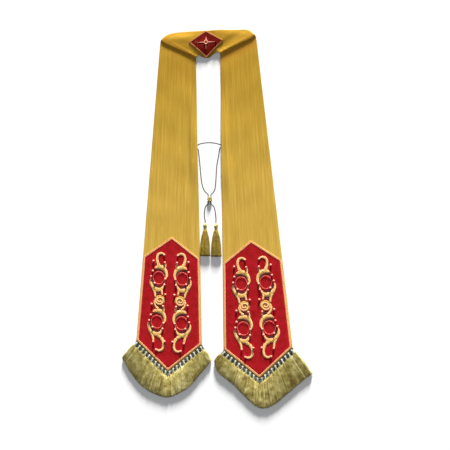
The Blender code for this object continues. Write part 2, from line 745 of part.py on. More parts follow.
def fringe_fall(half, along):
    """The direction and length of the fringe at a place on the hem."""
    rows = half.fringe
    for (place, turn, length), (next_place, next_turn, next_length) in zip(rows, rows[1:]):
        if along <= next_place:
            share = (along - place) / (next_place - place)
            swing = math.radians(mix(turn, next_turn, share))
            fall = band_point(half, math.sin(swing), math.cos(swing)) - band_point(half, 0, 0)
            return fall, mix(length, next_length, share)
    return None


def fringe_end(half, along):
    """Where the fringe ends that falls from a place on the hem."""
    fall, length = fringe_fall(half, min(max(along, -1), 1))
    return hem_place(half, along, 0) + fall * length


def place_end(face, centre, across, half_width, half_thickness):
    """Sets the four corners of an extruded end face to a rectangle across its direction."""
    middle = face.calc_center_median()
    for vert in face.verts:
        offset = vert.co - middle
        side = 1 if offset.dot(across) > 0 else -1
        level = 1 if offset.z > 0 else -1
        vert.co = centre + across * side * half_width + Vector((0, 0, level * half_thickness))


def grow(bm, face, centre, across, half_width, half_thickness):
    """Extrudes one end face to a new rectangle and returns the new face."""
    face = bmesh.ops.extrude_discrete_faces(bm, faces=[face])["faces"][0]
    place_end(face, centre, across, half_width, half_thickness)
    return face


def split_end(bm, face, across, pieces):
    """Splits an end face into strips side by side and returns them in order."""
    edges = [edge for edge in face.edges if abs((edge.verts[0].co - edge.verts[1].co).dot(across)) > 1e-6]
    middle = face.calc_center_median()
    normal = face.normal.copy()
    bmesh.ops.subdivide_edges(bm, edges=edges, cuts=pieces - 1, use_grid_fill=True)
    bm.normal_update()
    strips = []
    for candidate in bm.faces:
        offset = candidate.calc_center_median() - middle
        if abs(offset.dot(normal)) < 1e-6 and offset.length < 0.02 and candidate.normal.dot(normal) > 0.99:
            strips.append(candidate)
    return sorted(strips, key=lambda strip: strip.calc_center_median().dot(across))


def make_fringe(half, finish, collection, parent):
    """The heading strip along the hem, and locks that knot and part into strands."""
    locks = 2 * LOCKS_PER_SIDE
    stations = [-1.0]
    roots = {}
    for lock in range(locks):
        middle = (lock + 0.5) / LOCKS_PER_SIDE - 1
        if lock == LOCKS_PER_SIDE:
            stations.append(0.0)
        roots[len(stations)] = middle
        stations += [middle + side * LOCK_ROOT_SHARE / locks for side in (-1, 1)]
    stations.append(1.0)
    cells = len(stations) - 1
    bm = bmesh.new()
    bmesh.ops.create_grid(bm, x_segments=cells, y_segments=1, size=0.5)
    raised = bmesh.ops.extrude_face_region(bm, geom=bm.faces[:])["geom"]
    top = [item for item in raised if isinstance(item, bmesh.types.BMVert)]
    bmesh.ops.translate(bm, vec=(0, 0, 1), verts=top)
    lock_faces = {}
    for face in bm.faces:
        middle = face.calc_center_median()
        if middle.y < -0.49 and 0.4 < middle.z < 0.6:
            lock_faces[round((middle.x + 0.5) * cells - 0.5)] = face
    for vert in bm.verts:
        station = stations[round((vert.co.x + 0.5) * cells)]
        out_by = SEAM_GAP + (FRINGE_STRIP if vert.co.y < 0 else 0.0)
        level = FLOOR_CLEARANCE + vert.co.z * FRINGE_STRIP_THICKNESS
        vert.co = flat(hem_place(half, station, out_by), level)
    bmesh.ops.recalc_face_normals(bm, faces=bm.faces[:])
    strip_level = FLOOR_CLEARANCE + FRINGE_STRIP_THICKNESS / 2
    lowest = FLOOR_CLEARANCE + STRAND_THICKNESS / 2
    hem_pitch = math.hypot(HEM_WIDTH / 2, HEM_POINT) / LOCKS_PER_SIDE
    for cell, along in roots.items():
        face = lock_faces[cell]
        fall, _ = fringe_fall(half, along)
        root = flat(hem_place(half, along, SEAM_GAP + FRINGE_STRIP), strip_level)
        fall = flat(fall, 0)
        across = fall.cross(Vector((0, 0, 1)))
        hem_line = (hem_place(half, along + 0.02, 0) - hem_place(half, along - 0.02, 0)).normalized()
        room = abs(hem_pitch * hem_line.dot(across.xy))
        way = math.copysign(1, hem_line.dot(across.xy))
        knot_half = room * KNOT_SHARE / 2
        run = flat(root + fall * LOCK_ROOT_LENGTH, strip_level + LOCK_ROOT_RISE)
        face = grow(bm, face, run, across, room * LOCK_ROOT_SHARE / 2, LOCK_ROOT_THICKNESS / 2)
        run = flat(run + fall * KNOT_SHOULDER, strip_level + KNOT_RISE)
        face = grow(bm, face, run, across, knot_half, KNOT_THICKNESS / 2)
        run = run + fall * KNOT_LENGTH
        face = grow(bm, face, run, across, knot_half * KNOT_FLARE, KNOT_THICKNESS / 2)
        bm.normal_update()
        strands = split_end(bm, face, across, STRANDS_PER_LOCK)
        for strand, strip in enumerate(strands):
            spot = (strand + 0.5) / STRANDS_PER_LOCK * 2 - 1
            end_along = along + way * spot / locks
            base = strip.calc_center_median()
            uneven = 1 + STRAND_UNEVENNESS * math.sin(5.1 * strand + 2.3 * cell)
            run = flat(fringe_end(half, end_along), 0) - flat(base, 0)
            end_across = run.normalized().cross(Vector((0, 0, 1)))
            pitch = fringe_end(half, end_along + 1 / locks) - fringe_end(half, end_along - 1 / locks)
            end_width = abs(pitch.dot(end_across.xy)) / STRANDS_PER_LOCK * STRAND_END_SHARE
            start_width = room * KNOT_SHARE / STRANDS_PER_LOCK
            arch = STRAND_ARCH[(strand * 3 + cell) % len(STRAND_ARCH)]
            for share, height in ((STRAND_ARCH_AT, arch), (1.0, lowest)):
                width = mix(start_width, end_width, share)
                place = flat(base + run * share * uneven, height)
                strip = grow(bm, strip, place, end_across, width / 2, STRAND_THICKNESS / 2)
    name = f"{half.name}_fringe"
    add_object(name, mesh_from(bm, name), finish, collection, parent)


def elliptical(x, y, half_width, half_thickness):
    """Moves a point of a unit square's rim onto an ellipse."""
    length = math.hypot(x, y)
    return x / length * half_width, y / length * half_thickness


def make_tassel(tassel, finish, collection, parent):
    """A bound head with a skirt of locks, lying on its side. Its skirt points along -Y."""
    bm = bmesh.new()
    bmesh.ops.create_grid(bm, x_segments=TASSEL_LOCKS_ACROSS, y_segments=TASSEL_LAYERS, size=1.0)
    roots = bm.faces[:]
    ring = bmesh.ops.extrude_face_region(bm, geom=roots, use_keep_orig=True)["geom"]
    neck_width = TASSEL_HEAD_ROWS[0][1] * 1.02
    neck_thickness = TASSEL_HEAD_ROWS[0][2] * 1.02
    squares = {vert: vert.co.xy.copy() for vert in bm.verts}
    for vert in bm.verts:
        x, y = squares[vert]
        vert.co = Vector((x * neck_width, -TASSEL_SKIRT_TOP, y * neck_thickness))
    for distance, half_width, half_thickness in TASSEL_HEAD_ROWS:
        faces = [face for face in ring if isinstance(face, bmesh.types.BMFace)]
        verts = {vert for face in faces for vert in face.verts}
        for vert in verts:
            x, y = squares[vert]
            rim = max(abs(x), abs(y))
            if rim > 0:
                x, y = elliptical(x, y, half_width * rim, half_thickness * rim)
            vert.co = Vector((x, -TASSEL_SKIRT_TOP + distance, y))
        if distance != TASSEL_HEAD_ROWS[-1][0]:
            old = {tuple(vert.co): squares[vert] for vert in verts}
            ring = bmesh.ops.extrude_face_region(bm, geom=faces)["geom"]
            for vert in ring:
                if isinstance(vert, bmesh.types.BMVert):
                    squares[vert] = old[tuple(vert.co)]
            bmesh.ops.delete(bm, geom=faces, context="FACES_ONLY")
    bm.normal_update()
    bmesh.ops.recalc_face_normals(bm, faces=bm.faces[:])
    across = Vector((1, 0, 0))
    for face in roots:
        middle = face.calc_center_median()
        column = round((middle.x / neck_width + 1) * TASSEL_LOCKS_ACROSS / 2 - 0.5)
        layer = round((middle.z / neck_thickness + 1) * TASSEL_LAYERS / 2 - 0.5)
        spot = (column + 0.5) / TASSEL_LOCKS_ACROSS * 2 - 1
        rise = layer - (TASSEL_LAYERS - 1) / 2
        for share, level, gap in TASSEL_SKIRT_ROWS:
            half_width = mix(TASSEL_ROOT_HALF_WIDTH, TASSEL_END_HALF_WIDTH, share)
            lock = half_width / TASSEL_LOCKS_ACROSS * TASSEL_LOCK_SHARE
            end = -TASSEL_SKIRT_TOP - (TASSEL_LENGTH - TASSEL_SKIRT_TOP) * share
            end += share * TASSEL_UNEVENNESS * math.sin(3.7 * column + 2.1 * layer)
            centre = Vector((spot * half_width, end, level + rise * gap))
            face = grow(bm, face, centre, across, lock, TASSEL_LOCK_THICKNESS / 2)
    mesh = mesh_from(bm, tassel.name)
    thing = add_object(tassel.name, mesh, finish, collection, parent)
    thing.location = tassel.top
    thing.rotation_euler = (0, 0, tassel.turn)
    return thing


def make_slide_knot(finish, collection, parent):
    """A short barrel of four wraps round both runs of the cord."""
    wraps = 4
    bm = bmesh.new()
    rings = [(-1.0, 0.62)]
    for wrap in range(wraps):
        start = -1 + 2 * wrap / wraps
        rings += [(start + 0.5 / wraps, 0.98), (start + 1.5 / wraps, 0.98)]
        if wrap < wraps - 1:
            rings.append((start + 2 / wraps, 0.86))
    rings.append((1.0, 0.62))
    previous = None
    for along, share in rings:
        circle = bmesh.ops.create_circle(bm, segments=16, radius=0.5, cap_ends=along in (-1.0, 1.0))
        for vert in circle["verts"]:
            x, z = vert.co.x * share, vert.co.y * share
            vert.co = Vector((x * KNOT_SIZE.x, along * KNOT_SIZE.y / 2, z * KNOT_SIZE.z))
        edges = {edge for vert in circle["verts"] for edge in vert.link_edges if len(edge.link_faces) < 2}
        if previous:
            bmesh.ops.bridge_loops(bm, edges=list(previous | edges))
        previous = edges
    mesh = mesh_from(bm, "slide_knot")
    mesh.shade_smooth()
    mesh.set_sharp_from_angle(angle=math.radians(50))
    thing = add_object("slide_knot", mesh, finish, collection, parent)
    thing.location = KNOT_PLACE
    return thing


def cord_route(name):
    """The cord's middle line, straight over its last bit into the knot or a tassel's head."""
    points = [Vector((x, y, CORD_LEVEL)) for x, y in CORD_ROUTES[name]]
    side = -1 if "left" in name else 1
    straight = Vector((0, CORD_STRAIGHT, 0))
    entry = KNOT_PLACE + Vector((side * CORD_SPREAD, KNOT_SIZE.y / 2 + SEAM_GAP, 0))
    leaving = KNOT_PLACE + Vector((side * CORD_SPREAD, -KNOT_SIZE.y / 2 - SEAM_GAP, 0))
    first = []
    last = []
    if name.endswith("upper"):
        points[-1].z = mix(CORD_LEVEL, KNOT_PLACE.z, 0.5)
        points += [entry + Vector((side * 0.0007, CORD_EASE, 0)), entry + straight]
        last = [entry]
    if name.endswith("lower"):
        head = TASSELS[0 if side < 0 else 1].top + Vector((0, SEAM_GAP, 0))
        points[0].z = mix(CORD_LEVEL, KNOT_PLACE.z, 0.5)
        points[-1].z = mix(CORD_LEVEL, head.z, 0.3)
        points = [leaving - straight, leaving - Vector((-side * 0.0007, CORD_EASE, 0)), *points]
        points += [head + Vector((-side * 0.0004, CORD_EASE, 0)), head + straight]
        first = [leaving]
        last = [head]
    length = sum((b - a).length for a, b in zip(points, points[1:]))
    return first + smooth_route(points, round(length / CORD_STEP) + 1) + last


def make_cord(name, finish, collection, parent):
    route = cord_route(name)
    curve = bpy.data.curves.new(name, "CURVE")
    curve.dimensions = "3D"
    curve.bevel_depth = CORD_DIAMETER / 2
    curve.bevel_resolution = 2
    curve.use_fill_caps = True
    spline = curve.splines.new("POLY")
    spline.points.add(len(route) - 1)
    for point, place in zip(spline.points, route):
        point.co = (*place, 1.0)
        point.radius = 1.0
    spline.use_smooth = True
    add_object(name, curve, finish, collection, parent)


def centre_frame(frame, nodes):
    """Moves the frame so that the origin is under the middle of the given nodes' box."""
    bpy.context.view_layer.update()
    graph = bpy.context.evaluated_depsgraph_get()
    corners = []
    for node in nodes:
        evaluated = node.evaluated_get(graph)
        corners += [evaluated.matrix_world @ vert.co for vert in evaluated.data.vertices]
    for axis in (0, 1):
        values = [corner[axis] for corner in corners]
        frame.location[axis] = -(min(values) + max(values)) / 2


def main():
    clear_scene()
    collection = bpy.data.collections.new("clerical_stole")
    bpy.context.scene.collection.children.link(collection)
    frame = bpy.data.objects.new("stole_frame", None)
    collection.objects.link(frame)
    gold = material("gold cloth", GOLD_CLOTH)
    red = material("red cloth", RED_CLOTH)
    dark_red = material("dark red cloth", DARK_RED_CLOTH)
    braid = material("salmon gold braid", BRAID_GOLD)
    goldwork = material("goldwork", GOLDWORK)
    fringe = material("fringe gold", FRINGE_GOLD)
    tassel_gold = material("tassel gold", TASSEL_GOLD)
    cord = material("cord", CORD_GOLD)

    cloth = [make_half(half, gold, collection, frame) for half in HALVES]
    for half in HALVES:
        make_panel(half, red, collection, frame)
        make_panel_braid(half, braid, collection, frame)
        make_scroll(half, 1, goldwork, collection, frame)
        make_scroll(half, -1, goldwork, collection, frame)
        make_fringe(half, fringe, collection, frame)
    ground = make_emblem_ground(cloth, dark_red, collection, frame)
    make_emblem_braid(cloth, braid, collection, frame)
    make_emblem_star(ground, goldwork, collection, frame)
    stole = [thing for thing in collection.objects if thing.type == "MESH"]

    for name in CORD_ROUTES:
        make_cord(name, cord, collection, frame)
    make_slide_knot(cord, collection, frame)
    for tassel in TASSELS:
        make_tassel(tassel, tassel_gold, collection, frame)
    centre_frame(frame, stole)


main()
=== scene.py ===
import math
from collections import namedtuple

import bmesh
import bpy
import numpy as np
from mathutils import Matrix, Vector


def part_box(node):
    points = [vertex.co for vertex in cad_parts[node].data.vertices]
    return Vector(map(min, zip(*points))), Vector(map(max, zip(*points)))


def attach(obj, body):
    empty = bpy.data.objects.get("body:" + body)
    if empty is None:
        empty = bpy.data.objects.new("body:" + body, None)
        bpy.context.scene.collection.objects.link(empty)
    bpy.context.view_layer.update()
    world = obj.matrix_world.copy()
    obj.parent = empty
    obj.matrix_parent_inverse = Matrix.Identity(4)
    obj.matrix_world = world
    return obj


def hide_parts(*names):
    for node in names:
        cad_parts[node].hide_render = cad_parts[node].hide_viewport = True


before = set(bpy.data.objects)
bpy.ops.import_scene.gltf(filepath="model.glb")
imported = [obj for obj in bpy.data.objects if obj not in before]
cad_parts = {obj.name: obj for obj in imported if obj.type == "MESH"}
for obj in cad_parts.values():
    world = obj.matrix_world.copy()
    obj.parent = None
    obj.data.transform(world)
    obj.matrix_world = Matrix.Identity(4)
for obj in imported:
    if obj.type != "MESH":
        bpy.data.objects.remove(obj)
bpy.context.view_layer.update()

scene = bpy.context.scene

# Camera. The stole's layout has x to the right, y towards the neck piece and y = 0 on the shoulder
# line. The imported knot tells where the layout's origin lies. The photograph was taken from above
# and to the right, with a normal lens.
KNOT_PLACE = Vector((0.0035, -0.4909, 0.0041))
CAMERA_PLACE = Vector((0.3838, -0.5699, 1.8873))
CAMERA_TURN = math.radians(10)
CAMERA_LENS = 50

knot_low, knot_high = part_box("slide_knot")
layout_origin = (Vector(knot_low) + Vector(knot_high)) / 2 - KNOT_PLACE
camera_data = bpy.data.cameras.new("photo_camera")
camera_data.lens = CAMERA_LENS
camera_data.sensor_width = 36
camera = bpy.data.objects.new("photo_camera", camera_data)
camera.location = layout_origin + CAMERA_PLACE
camera.rotation_euler = (0, CAMERA_TURN, 0)
scene.collection.objects.link(camera)
scene.camera = camera
scene.view_settings.view_transform = "Standard"

# Closing cord. A limp three-ply cord of dark, dull gold thread, 3.5 mm thick. One run crosses
# between the bands, and two runs come out from under their lifted inner edges, pass the sliding
# knot and end in the tassels.
CORD_DIAMETER = 0.0035
CORD_LEVEL = 0.0018
CORD_STRAIGHT = 0.004
CORD_EASE = 0.008
CORD_SPREAD = 0.0044
CORD_LAY = 0.010
CORD_RING_STEP = 0.0005
CORD_PLIES = 3
CORD_RING_POINTS = 18
# How far the cord leans inwards on its way into the knot and into a tassel
CORD_INWARD = 0.0007
TASSEL_CORD_INWARD = 0.0004
# The grooves between the plies leave at least this share of the diameter as radius
CORD_GROOVE_RADIUS = 0.36
CORD_FIBRE_PITCH = 0.00045
CORD_FIBRE_SLANT = math.radians(35)
SEAM_GAP = 0.0003
KNOT_SIZE = Vector((0.0155, 0.0140, 0.0078))
TASSEL_TOPS = {-1: Vector((-0.0102, -0.5650, 0.0055)), 1: Vector((0.0238, -0.5663, 0.0055))}
CORD_ROUTES = {
    "cross": (
        (-0.0520, -0.3262), (-0.0440, -0.3262), (-0.0368, -0.3248), (-0.0255, -0.3195),
        (-0.0028, -0.3167), (0.0194, -0.3185), (0.0369, -0.3235), (0.0430, -0.3250),
        (0.0490, -0.3255), (0.0550, -0.3255),
    ),
    "left_upper": (
        (-0.0510, -0.3315), (-0.0440, -0.3310), (-0.0385, -0.3318), (-0.0345, -0.3348),
        (-0.0325, -0.3400), (-0.0313, -0.3480), (-0.0300, -0.3590), (-0.0286, -0.3725),
        (-0.0223, -0.4355), (-0.0160, -0.4590), (-0.0090, -0.4695),
    ),
    "right_upper": (
        (0.0540, -0.3310), (0.0470, -0.3308), (0.0410, -0.3312), (0.0372, -0.3330),
        (0.0347, -0.3370), (0.0332, -0.3440), (0.0317, -0.3550), (0.0295, -0.3680),
        (0.0257, -0.3892), (0.0226, -0.4361), (0.0200, -0.4590), (0.0150, -0.4695),
    ),
    "left_lower": ((-0.0090, -0.5130), (-0.0122, -0.5235), (-0.0132, -0.5370), (-0.0126, -0.5500)),
    "right_lower": ((0.0160, -0.5130), (0.0195, -0.5235), (0.0217, -0.5370), (0.0233, -0.5510)),
}


def mix(start, end, share):
    return start + (end - start) * share


def smooth(share):
    """Eases a share from 0 to 1, and holds it outside."""
    share = min(max(share, 0.0), 1.0)
    return share * share * (3 - 2 * share)


def smooth_route(points, samples):
    """Reads a smooth curve through the points at evenly spaced distances along it."""
    points = [Vector(point) for point in points]
    ends = [points[0] * 2 - points[1], *points, points[-1] * 2 - points[-2]]
    fine = [points[0]]
    steps = 40
    for before, start, end, after in zip(ends, ends[1:], ends[2:], ends[3:]):
        for step in range(1, steps + 1):
            t = step / steps
            fine.append(
                0.5 * (start * 2 + (end - before) * t
                       + (before * 2 - start * 5 + end * 4 - after) * t ** 2
                       + (start * 3 - before - end * 3 + after) * t ** 3)
            )
    travelled = [0.0]
    for start, end in zip(fine, fine[1:]):
        travelled.append(travelled[-1] + (end - start).length)
    read = []
    at = 0
    for sample in range(samples):
        wanted = travelled[-1] * sample / (samples - 1)
        while at < len(fine) - 2 and travelled[at + 1] < wanted:
            at += 1
        share = (wanted - travelled[at]) / (travelled[at + 1] - travelled[at])
        read.append(mix(fine[at], fine[at + 1], share))
    return read


def route_length(points):
    return sum((end - start).length for start, end in zip(points, points[1:]))


def add_skin(bm, rows, closed=False, uvs=None):
    """Adds a skin through rows of points. Its UV map is in metres unless one is given."""
    cells = len(rows[0]) if closed else len(rows[0]) - 1
    made = bmesh.ops.create_grid(bm, x_segments=cells, y_segments=len(rows) - 1, size=0.5)["verts"]
    if uvs is None:
        along = [0.0]
        middle = len(rows[0]) // 2
        for first, second in zip(rows, rows[1:]):
            along.append(along[-1] + (second[middle] - first[middle]).length)
        uvs = []
        for row, here in zip(rows, along):
            travelled = [0.0]
            for start, end in zip(row, row[1:] + row[:1]):
                travelled.append(travelled[-1] + (end - start).length)
            shift = 0.0 if closed else travelled[middle]
            uvs.append([(distance - shift, here) for distance in travelled])
    uv_map = bm.loops.layers.uv.verify()
    places = {}
    for vert in made:
        column = round((vert.co.x + 0.5) * cells)
        places[vert] = column, round((vert.co.y + 0.5) * (len(rows) - 1))
    for face in {face for vert in made for face in vert.link_faces}:
        for loop in face.loops:
            column, row = places[loop.vert]
            loop[uv_map].uv = uvs[row][column]
    for vert, (column, row) in places.items():
        vert.co = rows[row][column % len(rows[row])]
    if closed:
        bmesh.ops.remove_doubles(bm, verts=made, dist=1e-7)


def close_skin(bm):
    """Fills the open ends of the swept shapes and turns all faces outwards."""
    ends = [edge for edge in bm.edges if edge.is_boundary]
    bmesh.ops.holes_fill(bm, edges=ends, sides=0)
    bmesh.ops.recalc_face_normals(bm, faces=bm.faces[:])


def place_piece(mesh, finish, slot, *nodes):
    """Makes a piece of a finished mesh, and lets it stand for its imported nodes."""
    mesh.shade_smooth()
    mesh.materials.append(finish)
    piece = bpy.data.objects.new(mesh.name, mesh)
    scene.collection.objects.link(piece)
    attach(piece, "root")
    if nodes:
        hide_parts(*nodes)
    return piece


def add_piece(name, bm, finish, slot, *nodes):
    """Makes a piece from a shape in the layout."""
    mesh = bpy.data.meshes.new(name)
    bm.to_mesh(mesh)
    bm.free()
    mesh.transform(Matrix.Translation(layout_origin))
    return place_piece(mesh, finish, slot, *nodes)


def add_closed_piece(name, rings, finish, slot, *nodes, uvs=None):
    """Makes a piece with closed ends through rings of points."""
    bm = bmesh.new()
    add_skin(bm, rings, closed=True, uvs=uvs)
    close_skin(bm)
    return add_piece(name, bm, finish, slot, *nodes)


def new_finish(name, **sockets):
    """A material whose shader has these constants, and its node tree."""
    finish = bpy.data.materials.new(name)
    finish.use_nodes = True
    shader = finish.node_tree.nodes["Principled BSDF"]
    for socket, value in sockets.items():
        shader.inputs[socket.replace("_", " ")].default_value = value
    return finish, finish.node_tree, shader


def add_node(tree, kind, inputs, **settings):
    """Adds a node with its settings. Each input is a value, or the socket that feeds it."""
    made = tree.nodes.new(kind)
    for setting, value in settings.items():
        setattr(made, setting, value)
    for socket, value in inputs.items():
        if isinstance(value, bpy.types.NodeSocket):
            tree.links.new(value, made.inputs[socket])
        else:
            made.inputs[socket].default_value = value
    return made.outputs[0]


def colours_by(tree, factor, *stops):
    """A colour ramp. Each stop is a place on it and a colour."""
    ramp = tree.nodes.new("ShaderNodeValToRGB")
    tree.links.new(factor, ramp.inputs["Fac"])
    elements = ramp.color_ramp.elements
    while len(elements) < len(stops):
        elements.new(0.5)
    for element, (place, colour) in zip(elements, stops):
        element.position = place
        element.color = (*colour, 1.0)
    return ramp.outputs["Color"]


def math_node(tree, operation, first, second=0.0):
    return add_node(tree, "ShaderNodeMath", {0: first, 1: second}, operation=operation)


def plus(tree, first, second):
    return math_node(tree, "ADD", first, second)


def times(tree, first, second):
    return math_node(tree, "MULTIPLY", first, second)


def blend_colours(tree, share, first, second, way="MIX"):
    made = tree.nodes.new("ShaderNodeMix")
    made.data_type = "RGBA"
    made.blend_type = way
    for socket, value in ((0, share), (6, first), (7, second)):
        if isinstance(value, bpy.types.NodeSocket):
            tree.links.new(value, made.inputs[socket])
        else:
            made.inputs[socket].default_value = value if socket == 0 else (*value, 1.0)
    return made.outputs[2]


def noise_on(tree, places, scale, detail=2.0):
    return add_node(tree, "ShaderNodeTexNoise", {"Vector": places, "Scale": scale, "Detail": detail})


def bands_on(tree, places, pitch, way="X", waver=0.0):
    """Soft parallel ridges with this pitch in metres."""
    return add_node(
        tree, "ShaderNodeTexWave",
        {"Vector": places, "Scale": math.pi / 10 / pitch, "Distortion": waver, "Detail Scale": 2.0},
        bands_direction=way,
    )


def uv_places(tree, across=1.0, along=1.0, turn=0.0):
    """The piece's own UV map, stretched and turned."""
    uv = tree.nodes.new("ShaderNodeTexCoord").outputs["UV"]
    return add_node(
        tree, "ShaderNodeMapping",
        {"Vector": uv, "Scale": (across, along, 1.0), "Rotation": (0.0, 0.0, turn)},
    )


def uv_parts(tree):
    """The two coordinates of the piece's own UV map."""
    parts = tree.nodes.new("ShaderNodeSeparateXYZ")
    tree.links.new(uv_places(tree), parts.inputs["Vector"])
    return parts.outputs["X"], parts.outputs["Y"]


def object_places(tree):
    return tree.nodes.new("ShaderNodeTexCoord").outputs["Object"]


def add_relief(tree, shader, height, depth, strength=1.0):
    relief = add_node(
        tree, "ShaderNodeBump", {"Height": height, "Distance": depth, "Strength": strength}
    )
    tree.links.new(relief, shader.inputs["Normal"])


def cord_finish():
    finish, tree, shader = new_finish("twisted_cord", Roughness=0.70, Specular_IOR_Level=0.1)
    fibres = bands_on(tree, uv_places(tree, turn=CORD_FIBRE_SLANT), CORD_FIBRE_PITCH, waver=1.2)
    patches = noise_on(tree, uv_places(tree), 160.0)
    colour = colours_by(
        tree, patches, (0.30, (0.024, 0.026, 0.016)), (0.55, (0.042, 0.046, 0.030)),
        (0.75, (0.072, 0.074, 0.050)),
    )
    colour = blend_colours(tree, times(tree, fibres, 0.35), colour, (0.10, 0.098, 0.068))
    tree.links.new(colour, shader.inputs["Base Color"])
    add_relief(tree, shader, fibres, 0.0002)
    return finish


def cord_rings(route, diameter, lay, plies=CORD_PLIES, points=CORD_RING_POINTS):
    """Rings round a route, whose outline is that of plies twisted round each other."""
    ply_radius = diameter / 2 * math.sin(math.pi / plies) / (1 + math.sin(math.pi / plies))
    ply_place = diameter / 2 - ply_radius
    rings = []
    travelled = 0.0
    for i, here in enumerate(route):
        before = route[max(i - 1, 0)]
        after = route[min(i + 1, len(route) - 1)]
        travelled += (here - before).length
        along = (after - before).normalized()
        side = along.cross(Vector((0, 0, 1))).normalized()
        up = side.cross(along)
        ring = []
        for point in range(points):
            angle = 2 * math.pi * point / points
            turn = (angle - 2 * math.pi * travelled / lay) % (2 * math.pi / plies) - math.pi / plies
            reach = ply_radius ** 2 - (ply_place * math.sin(turn)) ** 2
            radius = ply_place * math.cos(turn) + math.sqrt(max(reach, 0.0))
            radius = max(radius, diameter * CORD_GROOVE_RADIUS)
            ring.append(here + (side * math.cos(angle) + up * math.sin(angle)) * radius)
        rings.append(ring)
    return rings


def cord_half_route(side):
    """The run on one side: from under the band, through the knot and into the tassel's head."""
    word = "left" if side < 0 else "right"
    upper = [Vector((x, y, CORD_LEVEL)) for x, y in CORD_ROUTES[f"{word}_upper"]]
    lower = [Vector((x, y, CORD_LEVEL)) for x, y in CORD_ROUTES[f"{word}_lower"]]
    entry = KNOT_PLACE + Vector((side * CORD_SPREAD, KNOT_SIZE.y / 2 + SEAM_GAP, 0))
    leaving = KNOT_PLACE + Vector((side * CORD_SPREAD, -KNOT_SIZE.y / 2 - SEAM_GAP, 0))
    head = TASSEL_TOPS[side] + Vector((0, SEAM_GAP, 0))
    straight = Vector((0, CORD_STRAIGHT, 0))
    upper[-1].z = mix(CORD_LEVEL, KNOT_PLACE.z, 0.5)
    lower[0].z = mix(CORD_LEVEL, KNOT_PLACE.z, 0.5)
    lower[-1].z = mix(CORD_LEVEL, head.z, 0.3)
    return [
        *upper, entry + Vector((side * CORD_INWARD, CORD_EASE, 0)), entry + straight, entry,
        leaving, leaving - straight, leaving - Vector((-side * CORD_INWARD, CORD_EASE, 0)), *lower,
        head + Vector((-side * TASSEL_CORD_INWARD, CORD_EASE, 0)), head + straight, head,
    ]


cord_gold = cord_finish()
cord_pieces = {}
for name, points in (
    ("cross_cord", [Vector((x, y, CORD_LEVEL)) for x, y in CORD_ROUTES["cross"]]),
    ("left_cord", cord_half_route(-1)),
    ("right_cord", cord_half_route(1)),
):
    line = smooth_route(points, round(route_length(points) / CORD_RING_STEP))
    rings = cord_rings(line, CORD_DIAMETER, CORD_LAY)
    word = name.split("_")[0]
    nodes = ["cord_cross"] if word == "cross" else [f"cord_{word}_upper", f"cord_{word}_lower"]
    cord_pieces[name] = add_closed_piece(name, rings, cord_gold, "cord", *nodes)

# Gold cloth. The strip is lame over a firm backing, 1.6 mm in all, cut in two tapered halves with a
# pointed hem each. A mitre pleat turns each one at the shoulder, and the halves are seamed together
# at the centre back.
SHOULDER_WIDTH = 0.1125
HEM_WIDTH = 0.2120
BAND_LENGTH = 0.942
HEM_POINT = 0.0912
WALL = 0.0016
CENTRE_BACK_X = -0.007
CENTRE_BACK_TOP_Y = 0.0287
CENTRE_BACK_LOW_Y = -0.0556
Half = namedtuple("Half", "name side shoulder lean mitre_start mitre_depth top_edge lower_edge")
HALVES = (
    Half(
        name="left",
        side=-1,
        shoulder=Vector((-0.0973, 0.0056)),
        lean=-0.031,
        mitre_start=0.0038,
        mitre_depth=0.0535,
        top_edge=(
            (-0.1414, 0.0151), (-0.1318, 0.0214), (-0.1189, 0.0257),
            (-0.0965, 0.0278), (-0.0520, 0.0289),
        ),
        lower_edge=((-0.0296, -0.0469), (-0.0185, -0.0529)),
    ),
    Half(
        name="right",
        side=1,
        shoulder=Vector((0.0919, -0.0056)),
        lean=0.0643,
        mitre_start=-0.0061,
        mitre_depth=0.0428,
        top_edge=(
            (0.1449, 0.0065), (0.1318, 0.0179), (0.1189, 0.0249),
            (0.0801, 0.0263), (0.0366, 0.0289),
        ),
        lower_edge=((0.0332, -0.0403), (0.0257, -0.0400), (0.0147, -0.0459), (0.0035, -0.0540)),
    ),
)
PLEAT_ANGLE = math.radians(30)
LOWER_LEVEL = WALL / 2
MIDDLE_LEVEL = 0.0025
COVER_LEVEL = 0.0042
NECK_LEVEL = 0.0014
VISIBLE_FOLD_RADIUS = 0.0010
CORNER_FOLD_RADIUS = 0.00085
FULL_FOLD_FROM = 0.45
FOLD_TURNS = [math.radians(turn) for turn in (-60, -30, 0, 30, 60)]
CORNER_RAMP = 0.007
CORNER_SHARE = 0.12
COVER_FADE = 0.028
RIDGE_FADE = 0.026
NECK_ROLL_SHARE = 0.15
SoftFold = namedtuple("SoftFold", "start end height reach")
NECK_FOLDS = (
    SoftFold(Vector((0.038, -0.046)), Vector((0.138, 0.002)), 0.0018, 0.015),
    SoftFold(Vector((0.036, -0.022)), Vector((0.104, 0.018)), -0.0016, 0.018),
    SoftFold(Vector((-0.042, -0.053)), Vector((-0.140, 0.003)), 0.0012, 0.013),
    SoftFold(Vector((-0.060, 0.006)), Vector((-0.125, 0.008)), 0.0008, 0.018),
)
# A soft fold loses this share of its height towards its end
SOFT_FOLD_FADE = 0.6
# The neck piece rises evenly from its top edge to its lower edge, between the mitres
NECK_RISE = 0.0046
NECK_RISE_FROM_MITRE = 0.042
CORD_CROSSING = 0.337
LIFT_HEIGHT = 0.0043
LIFT_LENGTH = 0.034
LIFT_FADE = 0.150
LIFT_FROM = 0.80
LIFT_FULL = 0.88
RIPPLE_HEIGHT = 0.00022
RIPPLE_START = 0.06
RIPPLE_END = 0.50
RIPPLE_FADE = 0.10
HEM_PART_FROM = 0.86
CLOTH_COLUMNS = 36
HEM_ROWS = 18
BAND_TOP_ROWS = 120
NECK_ROWS = 40
PAINTED_SHADE_SCALE = 0.8
